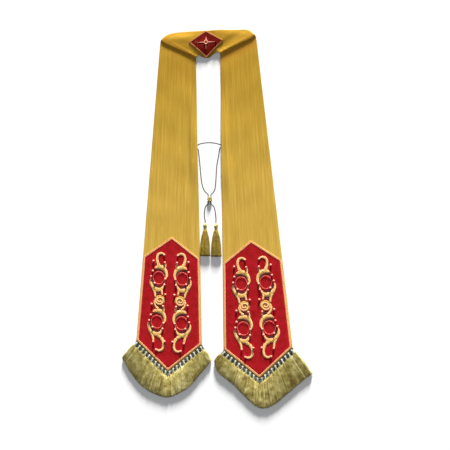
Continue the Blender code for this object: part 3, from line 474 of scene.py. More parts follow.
# Painted shade and light on the cloth, by the scale above times the metres from the hem's point, and a
# tint. It darkens the cloth towards the neck and paints a red-brown shade just below each mitre fold.
PAINTED_SHADE_TINTS = (
    (0.42, (1.0, 1.03, 0.95)), (0.60, (0.90, 0.91, 0.66)), (0.76, (0.80, 0.77, 0.44)),
    (0.785, (0.83, 0.78, 0.45)), (0.80, (0.84, 0.68, 0.38)), (0.85, (0.82, 0.64, 0.35)),
    (0.873, (0.84, 0.76, 0.38)), (0.93, (0.60, 0.53, 0.235)),
)
WARP_PITCH = 0.0009
WEFT_PITCH = 0.0011
# How much a row across the band follows the mitre, by its distance from the shoulder
MITRE_FOLLOWS = ((0.012, 1.0), (0.030, 0.95), (0.080, 0.7), (0.150, 0.35), (0.220, 0.1), (0.280, 0.0))


def band_width(down):
    return mix(SHOULDER_WIDTH, HEM_WIDTH, down / BAND_LENGTH)


def band_point(half, out, down):
    """A point of the half's band: out from its middle line and down from the shoulder."""
    turn = Matrix.Rotation(half.lean, 2)
    return half.shoulder + turn @ Vector((half.side * out, -down))


def flat(point, level):
    return Vector((point[0], point[1], level))


class Mitre:
    """The mitre pleat of one half: its corner, its visible fold and its hidden fold."""

    def __init__(self, half):
        self.side = half.side
        low = half.mitre_start + half.mitre_depth
        self.corner = band_point(half, band_width(half.mitre_start) / 2, half.mitre_start)
        self.inner = band_point(half, -band_width(low) / 2, low)
        self.along = self.inner - self.corner
        self.reach = self.along.length
        self.hidden_along = Matrix.Rotation(-half.side * PLEAT_ANGLE, 2) @ self.along
        self.back = (self.hidden_along - self.along).normalized()

    def fold_radius(self, across):
        return mix(CORNER_FOLD_RADIUS, VISIBLE_FOLD_RADIUS, smooth(across / FULL_FOLD_FROM))

    def beyond(self, line, offset):
        return (line.y * offset.x - line.x * offset.y) / line.length * self.side

    def lift(self, point):
        """How far the hidden layers raise the neck piece over its resting level."""
        from_corner = point - self.corner
        outside = self.beyond(self.hidden_along, from_corner)
        outside = max(outside, from_corner.length - self.reach, 0.0)
        fade = 1 - smooth(outside / COVER_FADE)
        across = min(from_corner.length / self.reach, 1.0)
        ridge = MIDDLE_LEVEL + 2 * self.fold_radius(across) - COVER_LEVEL
        ridge *= 1 - smooth(self.beyond(self.along, from_corner) / RIDGE_FADE)
        return (COVER_LEVEL - NECK_LEVEL + ridge) * fade


MITRES = {half.name: Mitre(half) for half in HALVES}


def soft_fold_height(fold, point):
    line = fold.end - fold.start
    share = min(max((point - fold.start).dot(line) / line.length_squared, 0.0), 1.0)
    away = (point - fold.start - line * share).length / fold.reach
    if away >= 1:
        return 0.0
    return fold.height * (1 - SOFT_FOLD_FADE * share) * (1 + math.cos(math.pi * away)) / 2


def neck_level(point):
    level = NECK_LEVEL + sum(mitre.lift(point) for mitre in MITRES.values())
    rise = NECK_RISE * (CENTRE_BACK_TOP_Y - point.y) / (CENTRE_BACK_TOP_Y - CENTRE_BACK_LOW_Y)
    for mitre in MITRES.values():
        rise *= smooth(mitre.beyond(mitre.along, point - mitre.corner) / NECK_RISE_FROM_MITRE)
    return level + rise + sum(soft_fold_height(fold, point) for fold in NECK_FOLDS)


def band_lift(across, down):
    """How far the band's inner edge is raised over the cord."""
    past = abs(down - CORD_CROSSING) - LIFT_LENGTH
    height = LIFT_HEIGHT * (1 - smooth(past / LIFT_FADE))
    return height * smooth((across - LIFT_FROM) / (LIFT_FULL - LIFT_FROM))


def band_ripple(half, across, down):
    """Slack that lies in the band above its panel as two low waves, a fraction of a millimetre.

    Their angles grow with the metres down the band and with the share across it.
    """
    slack = smooth(down / RIPPLE_START) * (1 - smooth((down - RIPPLE_END) / RIPPLE_FADE))
    wave = math.sin(38 * down + 3.1 * across + 1.7 * half.side)
    wave += 0.7 * math.sin(61 * down - 5.3 * across + 0.9)
    return RIPPLE_HEIGHT * slack * (1.7 + wave)


def cloth_rows(half):
    """Rows of points from the pointed hem, up the band, through the pleat and on to the centre back."""
    mitre = MITRES[half.name]
    across_all = [column / CLOTH_COLUMNS for column in range(CLOTH_COLUMNS + 1)]
    places, follows = zip(*MITRE_FOLLOWS)
    rows = []
    for step in range(HEM_ROWS):
        row = []
        for across in across_all:
            hem = BAND_LENGTH + HEM_POINT * (1 - abs(2 * across - 1))
            down = mix(hem, HEM_PART_FROM, step / HEM_ROWS)
            width = min(band_width(down), HEM_WIDTH)
            row.append(flat(band_point(half, width * (0.5 - across), down), LOWER_LEVEL))
        rows.append(row)
    for step in range(BAND_TOP_ROWS + 1):
        down = mix(HEM_PART_FROM, places[0], step / BAND_TOP_ROWS)
        follow = float(np.interp(down, places, follows))
        row = []
        for across in across_all:
            here = down + follow * (half.mitre_start + across * half.mitre_depth)
            level = LOWER_LEVEL + band_lift(across, here) + band_ripple(half, across, here)
            row.append(flat(band_point(half, band_width(here) * (0.5 - across), here), level))
        rows.append(row)
    rows += pleat_rows(half, mitre, across_all)
    seam_x = CENTRE_BACK_X + half.side * SEAM_GAP / 2
    top_start = mitre.corner + (Vector(half.top_edge[0]) - mitre.corner).normalized() * CORNER_RAMP
    top = smooth_route((top_start, *half.top_edge, (seam_x, CENTRE_BACK_TOP_Y)), NECK_ROWS + 1)
    low = smooth_route((mitre.inner, *half.lower_edge, (seam_x, CENTRE_BACK_LOW_Y)), NECK_ROWS + 1)
    for step in range(2, NECK_ROWS + 1):
        row = []
        for across in across_all:
            place = mix(top[step], low[step], across)
            roll = smooth(across / CORNER_SHARE) * max(1 - step / NECK_ROWS / NECK_ROLL_SHARE, 0)
            place = place + mitre.back * VISIBLE_FOLD_RADIUS * roll
            row.append(flat(place, neck_level(place)))
        rows.append(row)
    return rows


def fold_arc(start, level, radius, way):
    """Points round a fold, from its lower layer to its upper one: distance back and level."""
    return [
        (start + way * radius * math.cos(turn), level + radius + radius * math.sin(turn))
        for turn in FOLD_TURNS
    ]


def pleat_rows(half, mitre, across_all):
    """Rows from the band's layer through the hidden and the visible fold up to the neck piece."""
    down = (band_point(half, 0, 1) - band_point(half, 0, 0)).normalized()
    top_edge = (Vector(half.top_edge[0]) - mitre.corner).normalized()
    low = (MIDDLE_LEVEL - LOWER_LEVEL) / 2
    columns = []
    for across in across_all:
        start = mitre.corner + mitre.along * across
        overlap = 2 * mitre.reach * across * math.sin(PLEAT_ANGLE / 2)
        high = mitre.fold_radius(across)
        profile = [(0.0, LOWER_LEVEL), ((overlap - low) / 2, LOWER_LEVEL), (overlap - low, LOWER_LEVEL)]
        profile += fold_arc(overlap - low, LOWER_LEVEL, low, 1)
        profile += [(overlap - low, MIDDLE_LEVEL), (overlap / 2, MIDDLE_LEVEL), (high, MIDDLE_LEVEL)]
        profile += fold_arc(high, MIDDLE_LEVEL, high, -1)
        profile.append((high, MIDDLE_LEVEL + 2 * high))
        folded = smooth(across / CORNER_SHARE)
        column = []
        for row, (distance, level) in enumerate(profile):
            share = row / (len(profile) - 1)
            first = start + down * CORNER_RAMP
            last = start + mix(top_edge, mitre.back, min(across / CORNER_SHARE, 1)) * CORNER_RAMP
            ramp = mix(mix(first, start, share), mix(start, last, share), share)
            ramp_level = mix(LOWER_LEVEL, MIDDLE_LEVEL + 2 * high, smooth(share))
            place = mix(ramp, start + mitre.back * distance, folded)
            column.append(flat(place, mix(ramp_level, level, folded)))
        columns.append(column)
    return [list(row) for row in zip(*columns)]


def cloth_finish():
    """Gold lame: lengthwise slubs over a fine plain weave, darkened towards the neck by painted shade.
    """
    finish, tree, shader = new_finish("gold_lame", Metallic=0.08, Specular_IOR_Level=0.05)
    broad = noise_on(tree, uv_places(tree, 210.0, 6.0), 1.0, 3.0)
    fine = noise_on(tree, uv_places(tree, 900.0, 22.0), 1.0, 2.0)
    streaks = plus(tree, times(tree, broad, 0.6), times(tree, fine, 0.4))
    colour = colours_by(
        tree, streaks, (0.34, (0.485, 0.284, 0.047)), (0.50, (0.560, 0.345, 0.063)),
        (0.66, (0.644, 0.410, 0.090)),
    )
    _, along = uv_parts(tree)
    # Painted shade: darker towards the neck, and red-brown just below each mitre fold
    painted_shade = colours_by(tree, times(tree, along, PAINTED_SHADE_SCALE), *PAINTED_SHADE_TINTS)
    colour = blend_colours(tree, 1.0, colour, painted_shade, "MULTIPLY")
    warp = bands_on(tree, uv_places(tree), WARP_PITCH, waver=0.6)
    weft = bands_on(tree, uv_places(tree), WEFT_PITCH, way="Y", waver=0.6)
    height = plus(tree, plus(tree, warp, weft), times(tree, fine, 2.5))
    tree.links.new(colour, shader.inputs["Base Color"])
    shine = colours_by(tree, fine, (0.3, (0.42,) * 3), (0.7, (0.58,) * 3))
    tree.links.new(shine, shader.inputs["Roughness"])
    add_relief(tree, shader, height, 0.00012, 0.35)
    return finish


def add_sheet(name, rows, thickness, finish, slot, node, levels=0):
    """Makes a sheet of cloth through rows of points, with its wall on both sides of them."""
    bm = bmesh.new()
    add_skin(bm, rows)
    bm.normal_update()
    if sum(face.normal.z * face.calc_area() for face in bm.faces) < 0:
        bmesh.ops.reverse_faces(bm, faces=bm.faces[:])
    piece = add_piece(name, bm, finish, slot, node)
    wall = piece.modifiers.new("Wall", "SOLIDIFY")
    wall.thickness = thickness
    wall.offset = 0.0
    if levels:
        rounding = piece.modifiers.new("Rounding", "SUBSURF")
        rounding.levels = levels
        rounding.render_levels = levels
    return piece


gold_lame = cloth_finish()
for half in HALVES:
    add_sheet(
        f"{half.name}_cloth", cloth_rows(half), WALL, gold_lame, "gold_cloth", f"{half.name}_half",
        levels=1,
    )

# Red panels. Six-sided pieces of red satin, laid on the lower ends of the bands and held by the
# braid that is sewn over their edges.
PANEL_SHOULDER = 0.6754
PANEL_RISE = 0.066
PANEL_INSET = 0.009
PANEL_TUCK = 0.003
PANEL_THICKNESS = 0.0009
PANEL_COLUMNS = 24
PANEL_ROWS = 48
TWILL_PITCH = 0.0010
TWILL_SLANT = math.radians(50)
SATIN_THREAD_PITCH = 0.0006


def inset_outline(points, inset):
    """Moves each side of a closed outline inwards. The points go round anticlockwise."""
    moved = []
    for before, here, after in zip(points[-1:] + points[:-1], points, points[1:] + points[:1]):
        first = (here - before).normalized()
        second = (after - here).normalized()
        first_in = Vector((-first.y, first.x))
        second_in = Vector((-second.y, second.x))
        corner = (first_in + second_in) / (1 + first_in.dot(second_in))
        moved.append(here + corner * inset)
    return moved


def panel_outline(half, inset):
    """The panel's corners from its top, round by the inner side of a left-hand half, anticlockwise."""
    corners = (
        (0, PANEL_SHOULDER - PANEL_RISE),
        (band_width(PANEL_SHOULDER) / 2, PANEL_SHOULDER),
        (HEM_WIDTH / 2, BAND_LENGTH),
        (0, BAND_LENGTH + HEM_POINT),
        (-HEM_WIDTH / 2, BAND_LENGTH),
        (-band_width(PANEL_SHOULDER) / 2, PANEL_SHOULDER),
    )
    outline = [band_point(half, -half.side * out, down) for out, down in corners]
    return inset_outline(outline, inset)


def bent(first, corner, second, share):
    """A point of a line that is bent once, half-way."""
    if share < 0.5:
        return mix(first, corner, share * 2)
    return mix(corner, second, share * 2 - 1)


def satin_finish(name, dark, plain, light, patch_scale):
    finish, tree, shader = new_finish(name, Roughness=0.65, Specular_IOR_Level=0.03)
    patches = noise_on(tree, uv_places(tree), patch_scale, 4.0)
    colour = colours_by(tree, patches, (0.32, dark), (0.50, plain), (0.70, light))
    tree.links.new(colour, shader.inputs["Base Color"])
    twill = bands_on(tree, uv_places(tree, turn=TWILL_SLANT), TWILL_PITCH, waver=0.8)
    threads = bands_on(tree, uv_places(tree), SATIN_THREAD_PITCH, way="Y", waver=0.5)
    add_relief(tree, shader, plus(tree, twill, threads), 0.00012, 0.7)
    return finish


red_satin = satin_finish(
    "red_satin", (0.300, 0.0085, 0.0098), (0.370, 0.0098, 0.0130), (0.420, 0.0110, 0.0210),
    patch_scale=45.0,
)
for half in HALVES:
    top, left_top, left_low, tip, right_low, right_top = panel_outline(half, PANEL_INSET - PANEL_TUCK)
    level = WALL + SEAM_GAP + PANEL_THICKNESS / 2
    rows = []
    for step in range(PANEL_ROWS + 1):
        row = []
        for column in range(PANEL_COLUMNS + 1):
            share = column / PANEL_COLUMNS
            upper = bent(left_top, top, right_top, share)
            lower = bent(left_low, tip, right_low, share)
            row.append(flat(mix(lower, upper, step / PANEL_ROWS), level))
        rows.append(row)
    add_sheet(
        f"{half.name}_red_panel", rows, PANEL_THICKNESS, red_satin, "red_cloth", f"{half.name}_panel",
    )

# Panel braid. A woven salmon-gold braid, 5.5 mm wide with two low ridges, mitred at the corners and
# sewn along both edges.
BRAID_OUTER_INSET = 0.0032
BRAID_WIDTH = 0.0055
BRAID_THICKNESS = 0.0018
# One row for each line along the braid: share of its width, and share of its thickness
BRAID_SECTION = (
    (0.50, 0.00), (0.00, 0.00), (0.00, 0.45), (0.07, 0.78), (0.20, 0.97), (0.34, 0.95), (0.46, 0.76),
    (0.54, 0.76), (0.66, 0.95), (0.80, 0.97), (0.93, 0.78), (1.00, 0.45), (1.00, 0.00), (0.50, 0.00),
)
BRAID_STEP = 0.012
CHEVRON_PITCH = 0.0016


def lay_threads(tree, shader, colour, distance, pitch, share, gap_colour, depth):
    """Threads side by side over a distance, with darker gaps between them."""
    wave = math_node(tree, "SINE", times(tree, distance, 2 * math.pi / pitch))
    gaps = times(tree, plus(tree, wave, 1.0), share)
    tree.links.new(blend_colours(tree, gaps, colour, gap_colour), shader.inputs["Base Color"])
    add_relief(tree, shader, times(tree, wave, -1.0), depth)


def braid_finish(name, dark, plain, light):
    """Chevrons of twisted thread, mirrored on the braid's middle line."""
    finish, tree, shader = new_finish(name, Roughness=0.60, Metallic=0.06, Specular_IOR_Level=0.15)
    along, across = uv_parts(tree)
    from_middle = math_node(tree, "ABSOLUTE", math_node(tree, "SUBTRACT", across, 0.5))
    slanted = plus(tree, along, times(tree, from_middle, BRAID_WIDTH))
    patches = noise_on(tree, uv_places(tree, 1.0, 0.01), 260.0)
    colour = colours_by(tree, patches, (0.30, dark), (0.52, plain), (0.75, light))
    lay_threads(
        tree, shader, colour, slanted, CHEVRON_PITCH, share=0.22, gap_colour=(0.45, 0.16, 0.04),
        depth=0.00018,
    )
    return finish


def outline_rows(outlines, levels, step):
    """Closed rows of points along outlines with the same corners, with stations in between."""
    counts = []
    for start, end in zip(outlines[0], outlines[0][1:] + outlines[0][:1]):
        counts.append(max(round((end - start).length / step), 1))
    rows = []
    for outline, level in zip(outlines, levels):
        row = []
        for start, end, count in zip(outline, outline[1:] + outline[:1], counts):
            row += [flat(mix(start, end, i / count), level) for i in range(count)]
        rows.append(row)
    return rows


def braid_uvs(rows):
    """UVs of a braid: metres along it, and shares of its width."""
    middle_row = rows[len(rows) // 2]
    travelled = [0.0]
    for start, end in zip(middle_row, middle_row[1:] + middle_row[:1]):
        travelled.append(travelled[-1] + (end - start).length)
    return [[(distance, share) for distance in travelled] for share, _ in BRAID_SECTION]


salmon_braid = braid_finish(
    "salmon_gold_braid", (0.660, 0.270, 0.100), (0.850, 0.410, 0.190), (0.960, 0.550, 0.310),
)
for half in HALVES:
    outlines = [
        panel_outline(half, BRAID_OUTER_INSET + BRAID_WIDTH * share) for share, _ in BRAID_SECTION
    ]
    levels = [WALL + SEAM_GAP + BRAID_THICKNESS * height for _, height in BRAID_SECTION]
    rows = outline_rows(outlines, levels, BRAID_STEP)
    add_closed_piece(
        f"{half.name}_braid", rows, salmon_braid, "braid", f"{half.name}_panel_braid",
        uvs=braid_uvs(rows),
    )

# Goldwork scrolls. Each column is leaves, hooks and a rosette of gold thread laid over padding, with
# satin stitches across them. Flat brown strokes paint shadow in the hollows, and under each stroke a
# wider one makes a dark outline that is partly painted shadow. A thin pink chain stitch makes the
# rings, and small pearls sit round them.
SCROLL_LEVEL = WALL + 2 * SEAM_GAP + PANEL_THICKNESS
SCROLL_FULL_HEIGHT = 0.0015
RING_PLACES = ((0.0375, 0.1317, 1.0), (0.0395, 0.2690, 1.03))
HOOK_PLACES = ((0.0335, 0.0740, 1), (0.0285, 0.3410, -1))
ROSETTE_PLACE = (0.0325, 0.2025)
# Each row of a stroke is a point of its middle line and the stroke's width there
LEAF_STROKES = {
    "inner leaf": ((0.015, -0.028, 0.005), (0.007, -0.032, 0.010), (-0.003, -0.033, 0.013),
                   (-0.012, -0.030, 0.014), (-0.020, -0.023, 0.011), (-0.024, -0.013, 0.009),
                   (-0.0245, -0.003, 0.008), (-0.021, 0.005, 0.004)),
    "inner tip": ((-0.017, -0.027, 0.010), (-0.019, -0.038, 0.007), (-0.018, -0.048, 0.005)),
    "outer leaf": ((0.0245, 0.000, 0.004), (0.0265, 0.010, 0.007), (0.025, 0.020, 0.009),
                   (0.019, 0.030, 0.012), (0.009, 0.037, 0.014), (-0.003, 0.038, 0.012),
                   (-0.011, 0.033, 0.009), (-0.016, 0.025, 0.005), (-0.0195, 0.014, 0.003),
                   (-0.0205, 0.002, 0.003)),
    "stem": ((0.018, 0.034, 0.010), (0.013, 0.044, 0.008), (0.0105, 0.054, 0.007),
             (0.010, 0.062, 0.0055)),
}
# Painted shadow in the hollows, as flat brown strokes: round each ring, and above and below the rosette
HOLLOW_SHADOW_STROKES = (
    ((-0.0205, -0.0060, 0.003), (-0.0165, -0.0165, 0.006), (-0.0060, -0.0245, 0.007),
     (0.0060, -0.0260, 0.006), (0.0160, -0.0215, 0.004)),
    ((0.0215, 0.0060, 0.003), (0.0170, 0.0190, 0.007), (0.0070, 0.0275, 0.009),
     (-0.0040, 0.0285, 0.007), (-0.0120, 0.0240, 0.003)),
)
GAP_SHADOW_STROKES = (
    ((0.0385, 0.1740, 0.003), (0.0385, 0.1800, 0.008), (0.0385, 0.1850, 0.012)),
    ((0.0440, 0.2170, 0.003), (0.0360, 0.2245, 0.008), (0.0270, 0.2230, 0.007),
     (0.0220, 0.2190, 0.003)),
)
HOOK_STROKE = (
    (0.003, 0.024, 0.013), (0.008, 0.015, 0.010), (0.011, 0.005, 0.008), (0.0115, -0.005, 0.008),
    (0.008, -0.014, 0.008), (0.001, -0.018, 0.008), (-0.006, -0.0175, 0.0062),
    (-0.0115, -0.0145, 0.0098),
)
NECK_STROKES = (
    ((0.0285, 0.1650, 0.009), (0.0270, 0.1750, 0.007), (0.0250, 0.1860, 0.006)),
    ((0.0500, 0.2030, 0.0065), (0.0485, 0.2130, 0.0068), (0.0445, 0.2220, 0.008),
     (0.0370, 0.2300, 0.011)),
    ((0.0365, 0.3080, 0.013), (0.0320, 0.3140, 0.012), (0.0255, 0.3180, 0.011)),
)
# Across a stroke, from one edge to the other
STROKE_SECTION = (-1.0, -0.96, -0.82, -0.5, 0.0, 0.5, 0.82, 0.96, 1.0)
# A stroke has some samples and one more for each step of its length. Its first and last samples
# taper to a point, and no other is narrower than the least width.
STROKE_STEP = 0.0035
STROKE_LEAST_SAMPLES = 9
STROKE_LEAST_WIDTH = 0.0022
TAPER_START = 0.35
TAPER_SAMPLES = 2.5
HOLLOW_SAMPLES = 24
GAP_SAMPLES = 16
OUTLINE_SAMPLES = 20
SPIRAL_SAMPLES = 64
# How high a stroke stands: its least height, and what it gains with its width
PADDING_HEIGHT = 0.0006
PADDING_PER_WIDTH = 0.15
SPIRAL_LIFT = 0.0005
SPIRAL_HEIGHT = 0.0004
SPIRAL_PER_WIDTH = 0.25
SHADOW_STROKE_HEIGHT = 0.0005
OUTLINE_HEIGHT = 0.0003
OUTLINE_WIDTH = 0.0018
GOLD_STITCH_PITCH = 0.0011
ROSETTE_RADIUS = 0.0165
ROSETTE_MARGIN = 0.001
ROSETTE_CORE = 0.0035
ROSETTE_TURNS = 1.55
ROSETTE_START = math.radians(-20)
ROSETTE_STEPS = 12
ROSETTE_FLATTENING = 0.92
ROSETTE_WIDTH = 0.0062
ROSETTE_END_WIDTH = 0.0045
ROSETTE_PAD_HEIGHT = 0.0009
ROSETTE_PAD_STATIONS = 28
# One row for each ring of the pad: share of its radius, and share of its height
ROSETTE_PAD_ROWS = ((1.0, 0.0), (0.98, 0.4), (0.85, 0.8), (0.5, 1.0), (0.05, 1.05))
# The pad takes the goldwork's colour this far from a stroke's edge: the painted olive shade between the
# spiral's turns
ROSETTE_PAD_SHADE = 0.0100
ROSETTE_PAD_STITCHES = 0.012
RING_RADIUS = 0.0178
RING_LONG_RADIUS = 0.0195
RING_THREAD = 0.0013
RING_THREAD_LAY = 0.004
RING_STATIONS = 48
RING_PEARLS = (
    (0.0200, -0.0205), (0.0245, -0.0030), (0.0130, 0.0175), (-0.0215, 0.0035), (-0.0190, 0.0210),
)
LONE_PEARLS = (
    (0.0560, 0.0800), (0.0145, 0.1830), (0.0575, 0.2145), (0.0490, 0.3320), (0.0130, 0.3290),
    (0.0215, 0.0605), (0.0395, 0.3560), (0.0195, 0.0835), (0.0210, 0.2200),
)
PEARL_RADIUS = 0.0033
PEARL_CENTRE_LEVEL = 0.8
PEARL_FLATTENING = 0.85


def goldwork_finish():
    """Satin stitches: salmon edges, partly a painted highlight, and gold that turns to painted olive
    shade where broad.
    """
    finish, tree, shader = new_finish(
        "goldwork_thread", Roughness=0.55, Metallic=0.05, Specular_IOR_Level=0.2,
    )
    from_edge, along = uv_parts(tree)
    patches = noise_on(tree, uv_places(tree, 1.0, 0.5), 180.0, 3.0)
    wander = times(tree, math_node(tree, "SUBTRACT", patches, 0.5), 0.004)
    depth = times(tree, plus(tree, from_edge, wander), 100.0)
    # By distance from a stroke's edge: salmon thread with a painted highlight near the edge, then gold,
    # then painted olive shade deep in broad strokes
    colour = colours_by(
        tree, depth, (0.00, (0.760, 0.300, 0.130)), (0.08, (0.950, 0.450, 0.230)),
        (0.20, (0.930, 0.490, 0.210)), (0.36, (0.880, 0.530, 0.160)), (0.58, (0.740, 0.470, 0.115)),
        (0.95, (0.460, 0.290, 0.055)),
    )
    slanted = plus(tree, along, times(tree, from_edge, 0.6))
    lay_threads(
        tree, shader, colour, slanted, GOLD_STITCH_PITCH, share=0.14, gap_colour=(0.30, 0.13, 0.02),
        depth=0.00020,
    )
    return finish


def plain_thread_finish(name, dark, light, pitch=0.0008, roughness=0.55):
    finish, tree, shader = new_finish(name, Roughness=roughness)
    patches = noise_on(tree, uv_places(tree), 300.0, 3.0)
    tree.links.new(colours_by(tree, patches, (0.3, dark), (0.7, light)), shader.inputs["Base Color"])
    add_relief(tree, shader, bands_on(tree, uv_places(tree), pitch, way="Y", waver=0.4), 0.00018)
    return finish


def round_turns(count):
    return [2 * math.pi * i / count for i in range(count)]


def panel_point(half, column, out, down):
    """A point of a scroll column: out from the panel's middle line, and down from its top."""
    return band_point(half, column * out, PANEL_SHOULDER - PANEL_RISE + down)


def add_stroke(bm, placed, base, least, per_width=0.0, most=SCROLL_FULL_HEIGHT):
    """A crowned stroke through points with widths. Its UVs are distances from its edge and along it."""
    rings = []
    uvs = []
    travelled = 0.0
    for i, (here, width) in enumerate(placed):
        before = placed[max(i - 1, 0)][0]
        after = placed[min(i + 1, len(placed) - 1)][0]
        travelled += (here - before).length
        along = (after - before).normalized()
        sideways = Vector((-along.y, along.x))
        rise = min(least + per_width * width, most)
        ring = []
        uv = []
        for v in STROKE_SECTION:
            level = base + rise * math.sqrt(1 - v * v)
            ring.append(flat(here + sideways * v * width / 2, level))
            uv.append(((1 - abs(v)) * width / 2, travelled))
        uv.append((0.0, travelled))
        rings.append(ring)
        uvs.append(uv)
    add_skin(bm, rings, closed=True, uvs=uvs)


def placed_stroke(half, column, rows, samples, grow=0.0):
    """A stroke's points on the panel and its widths, with pointed ends."""
    placed = []
    for i, point in enumerate(smooth_route(rows, samples)):
        from_end = min(i, samples - 1 - i)
        taper = min(1.0, (from_end + TAPER_START) / TAPER_SAMPLES)
        width = (max(point.z, STROKE_LEAST_WIDTH) + grow) * math.sqrt(taper)
        placed.append((panel_point(half, column, point.x, point.y), width))
    return placed


def moved_stroke(rows, out, down, size):
    return [(out + x * size, down + y * size, width) for x, y, width in rows]


def scroll_strokes():
    strokes = [
        moved_stroke(rows, *place) for place in RING_PLACES for rows in LEAF_STROKES.values()
    ]
    strokes += [moved_stroke(HOOK_STROKE, *place) for place in HOOK_PLACES]
    return strokes + list(NECK_STROKES)


def painted_shadow_strokes():
    """The flat brown strokes of painted shadow, each with its number of samples."""
    hollows = [moved_stroke(rows, *place) for place in RING_PLACES for rows in HOLLOW_SHADOW_STROKES]
    strokes = [(rows, HOLLOW_SAMPLES) for rows in hollows]
    return strokes + [(rows, GAP_SAMPLES) for rows in GAP_SHADOW_STROKES]


def rosette_place(radius, angle):
    x = ROSETTE_PLACE[0] + radius * math.cos(angle)
    y = ROSETTE_PLACE[1] + radius * math.sin(angle) * ROSETTE_FLATTENING
    return x, y


def rosette_spiral():
    rows = []
    for step in range(ROSETTE_STEPS + 1):
        share = step / ROSETTE_STEPS
        radius = mix(ROSETTE_RADIUS - ROSETTE_MARGIN, ROSETTE_CORE, share)
        angle = ROSETTE_START + share * ROSETTE_TURNS * 2 * math.pi
        rows.append((*rosette_place(radius, angle), mix(ROSETTE_WIDTH, ROSETTE_END_WIDTH, share)))
    return rows


def add_rosette_pad(bm, half, column):
    """The rosette's low padded disc, under its spiral."""
    turns = round_turns(ROSETTE_PAD_STATIONS)
    rings = []
    for share, rise in ROSETTE_PAD_ROWS:
        places = [rosette_place((ROSETTE_RADIUS + ROSETTE_MARGIN) * share, turn) for turn in turns]
        level = SCROLL_LEVEL + rise * ROSETTE_PAD_HEIGHT
        rings.append([flat(panel_point(half, column, *place), level) for place in places])
    # The pad's UVs give it the painted olive shade
    uv = [(ROSETTE_PAD_SHADE, turn * ROSETTE_PAD_STITCHES) for turn in (*turns, 2 * math.pi)]
    add_skin(bm, rings, closed=True, uvs=[uv] * len(rings))


def add_thread_ring(bm, line, diameter, lay):
    """A two-ply thread laid in a closed ring."""
    rings = cord_rings(line + line[:1], diameter, lay, plies=2, points=8)
    rings[-1] = rings[0]
    add_skin(bm, rings, closed=True)


def pearl_finish():
    finish, tree, shader = new_finish("pearl", Roughness=0.45, Specular_IOR_Level=0.3)
    tint = noise_on(tree, object_places(tree), 90.0)
    colour = colours_by(tree, tint, (0.35, (0.60, 0.21, 0.15)), (0.65, (0.74, 0.31, 0.23)))
    tree.links.new(colour, shader.inputs["Base Color"])
    return finish


goldwork = goldwork_finish()
# Brown for the flat strokes of painted shadow
painted_shadow_finish = plain_thread_finish("brown_shading_stitch", (0.060, 0.008, 0.004), (0.150, 0.022, 0.008))
pink_chain = plain_thread_finish("pink_chain_stitch", (0.55, 0.10, 0.08), (0.80, 0.24, 0.17))
for half in HALVES:
    for column, word in ((1, "outer"), (-1, "inner")):
        bm = bmesh.new()
        for rows in scroll_strokes():
            length = route_length([Vector(row) for row in rows])
            samples = STROKE_LEAST_SAMPLES + round(length / STROKE_STEP)
            placed = placed_stroke(half, column, rows, samples)
            add_stroke(bm, placed, SCROLL_LEVEL, PADDING_HEIGHT, PADDING_PER_WIDTH)
        add_rosette_pad(bm, half, column)
        spiral = placed_stroke(half, column, rosette_spiral(), SPIRAL_SAMPLES)
        add_stroke(bm, spiral, SCROLL_LEVEL + SPIRAL_LIFT, SPIRAL_HEIGHT, SPIRAL_PER_WIDTH)
        close_skin(bm)
        name = f"{half.name}_{word}"
        add_piece(f"{name}_goldwork", bm, goldwork, "goldwork", f"{name}_scroll")
        # Painted shadow: flat brown strokes in the hollows, and under each stroke a wider one whose
        # dark outline is partly painted shadow
        bm = bmesh.new()
        for rows, samples in painted_shadow_strokes():
            add_stroke(bm, placed_stroke(half, column, rows, samples), SCROLL_LEVEL, SHADOW_STROKE_HEIGHT)
        for rows in scroll_strokes():
            placed = placed_stroke(half, column, rows, OUTLINE_SAMPLES, OUTLINE_WIDTH)
            add_stroke(bm, placed, SCROLL_LEVEL, OUTLINE_HEIGHT)
        close_skin(bm)
        add_piece(f"{name}_shading", bm, painted_shadow_finish, "goldwork")
        bm = bmesh.new()
        for out, down, size in RING_PLACES:
            line = []
            for turn in round_turns(RING_STATIONS):
                x = out + RING_RADIUS * size * math.cos(turn)
                y = down + RING_LONG_RADIUS * size * math.sin(turn)
                line.append(flat(panel_point(half, column, x, y), SCROLL_LEVEL + RING_THREAD))
            add_thread_ring(bm, line, RING_THREAD, RING_THREAD_LAY)
        close_skin(bm)
        add_piece(f"{name}_rings", bm, pink_chain, "goldwork")

pearl = pearl_finish()
pearl_places = [(out + x, down + y) for out, down, _ in RING_PLACES for x, y in RING_PEARLS]
for half in HALVES:
    bm = bmesh.new()
    for column in (-1, 1):
        for place in (*pearl_places, *LONE_PEARLS):
            level = SCROLL_LEVEL + PEARL_RADIUS * PEARL_CENTRE_LEVEL
            centre = Matrix.Translation(flat(panel_point(half, column, *place), level))
            shape = centre @ Matrix.Diagonal((1.0, 1.0, PEARL_FLATTENING, 1.0))
            bmesh.ops.create_icosphere(bm, subdivisions=3, radius=PEARL_RADIUS, matrix=shape)
    add_piece(f"{half.name}_pearls", bm, pearl, "goldwork")

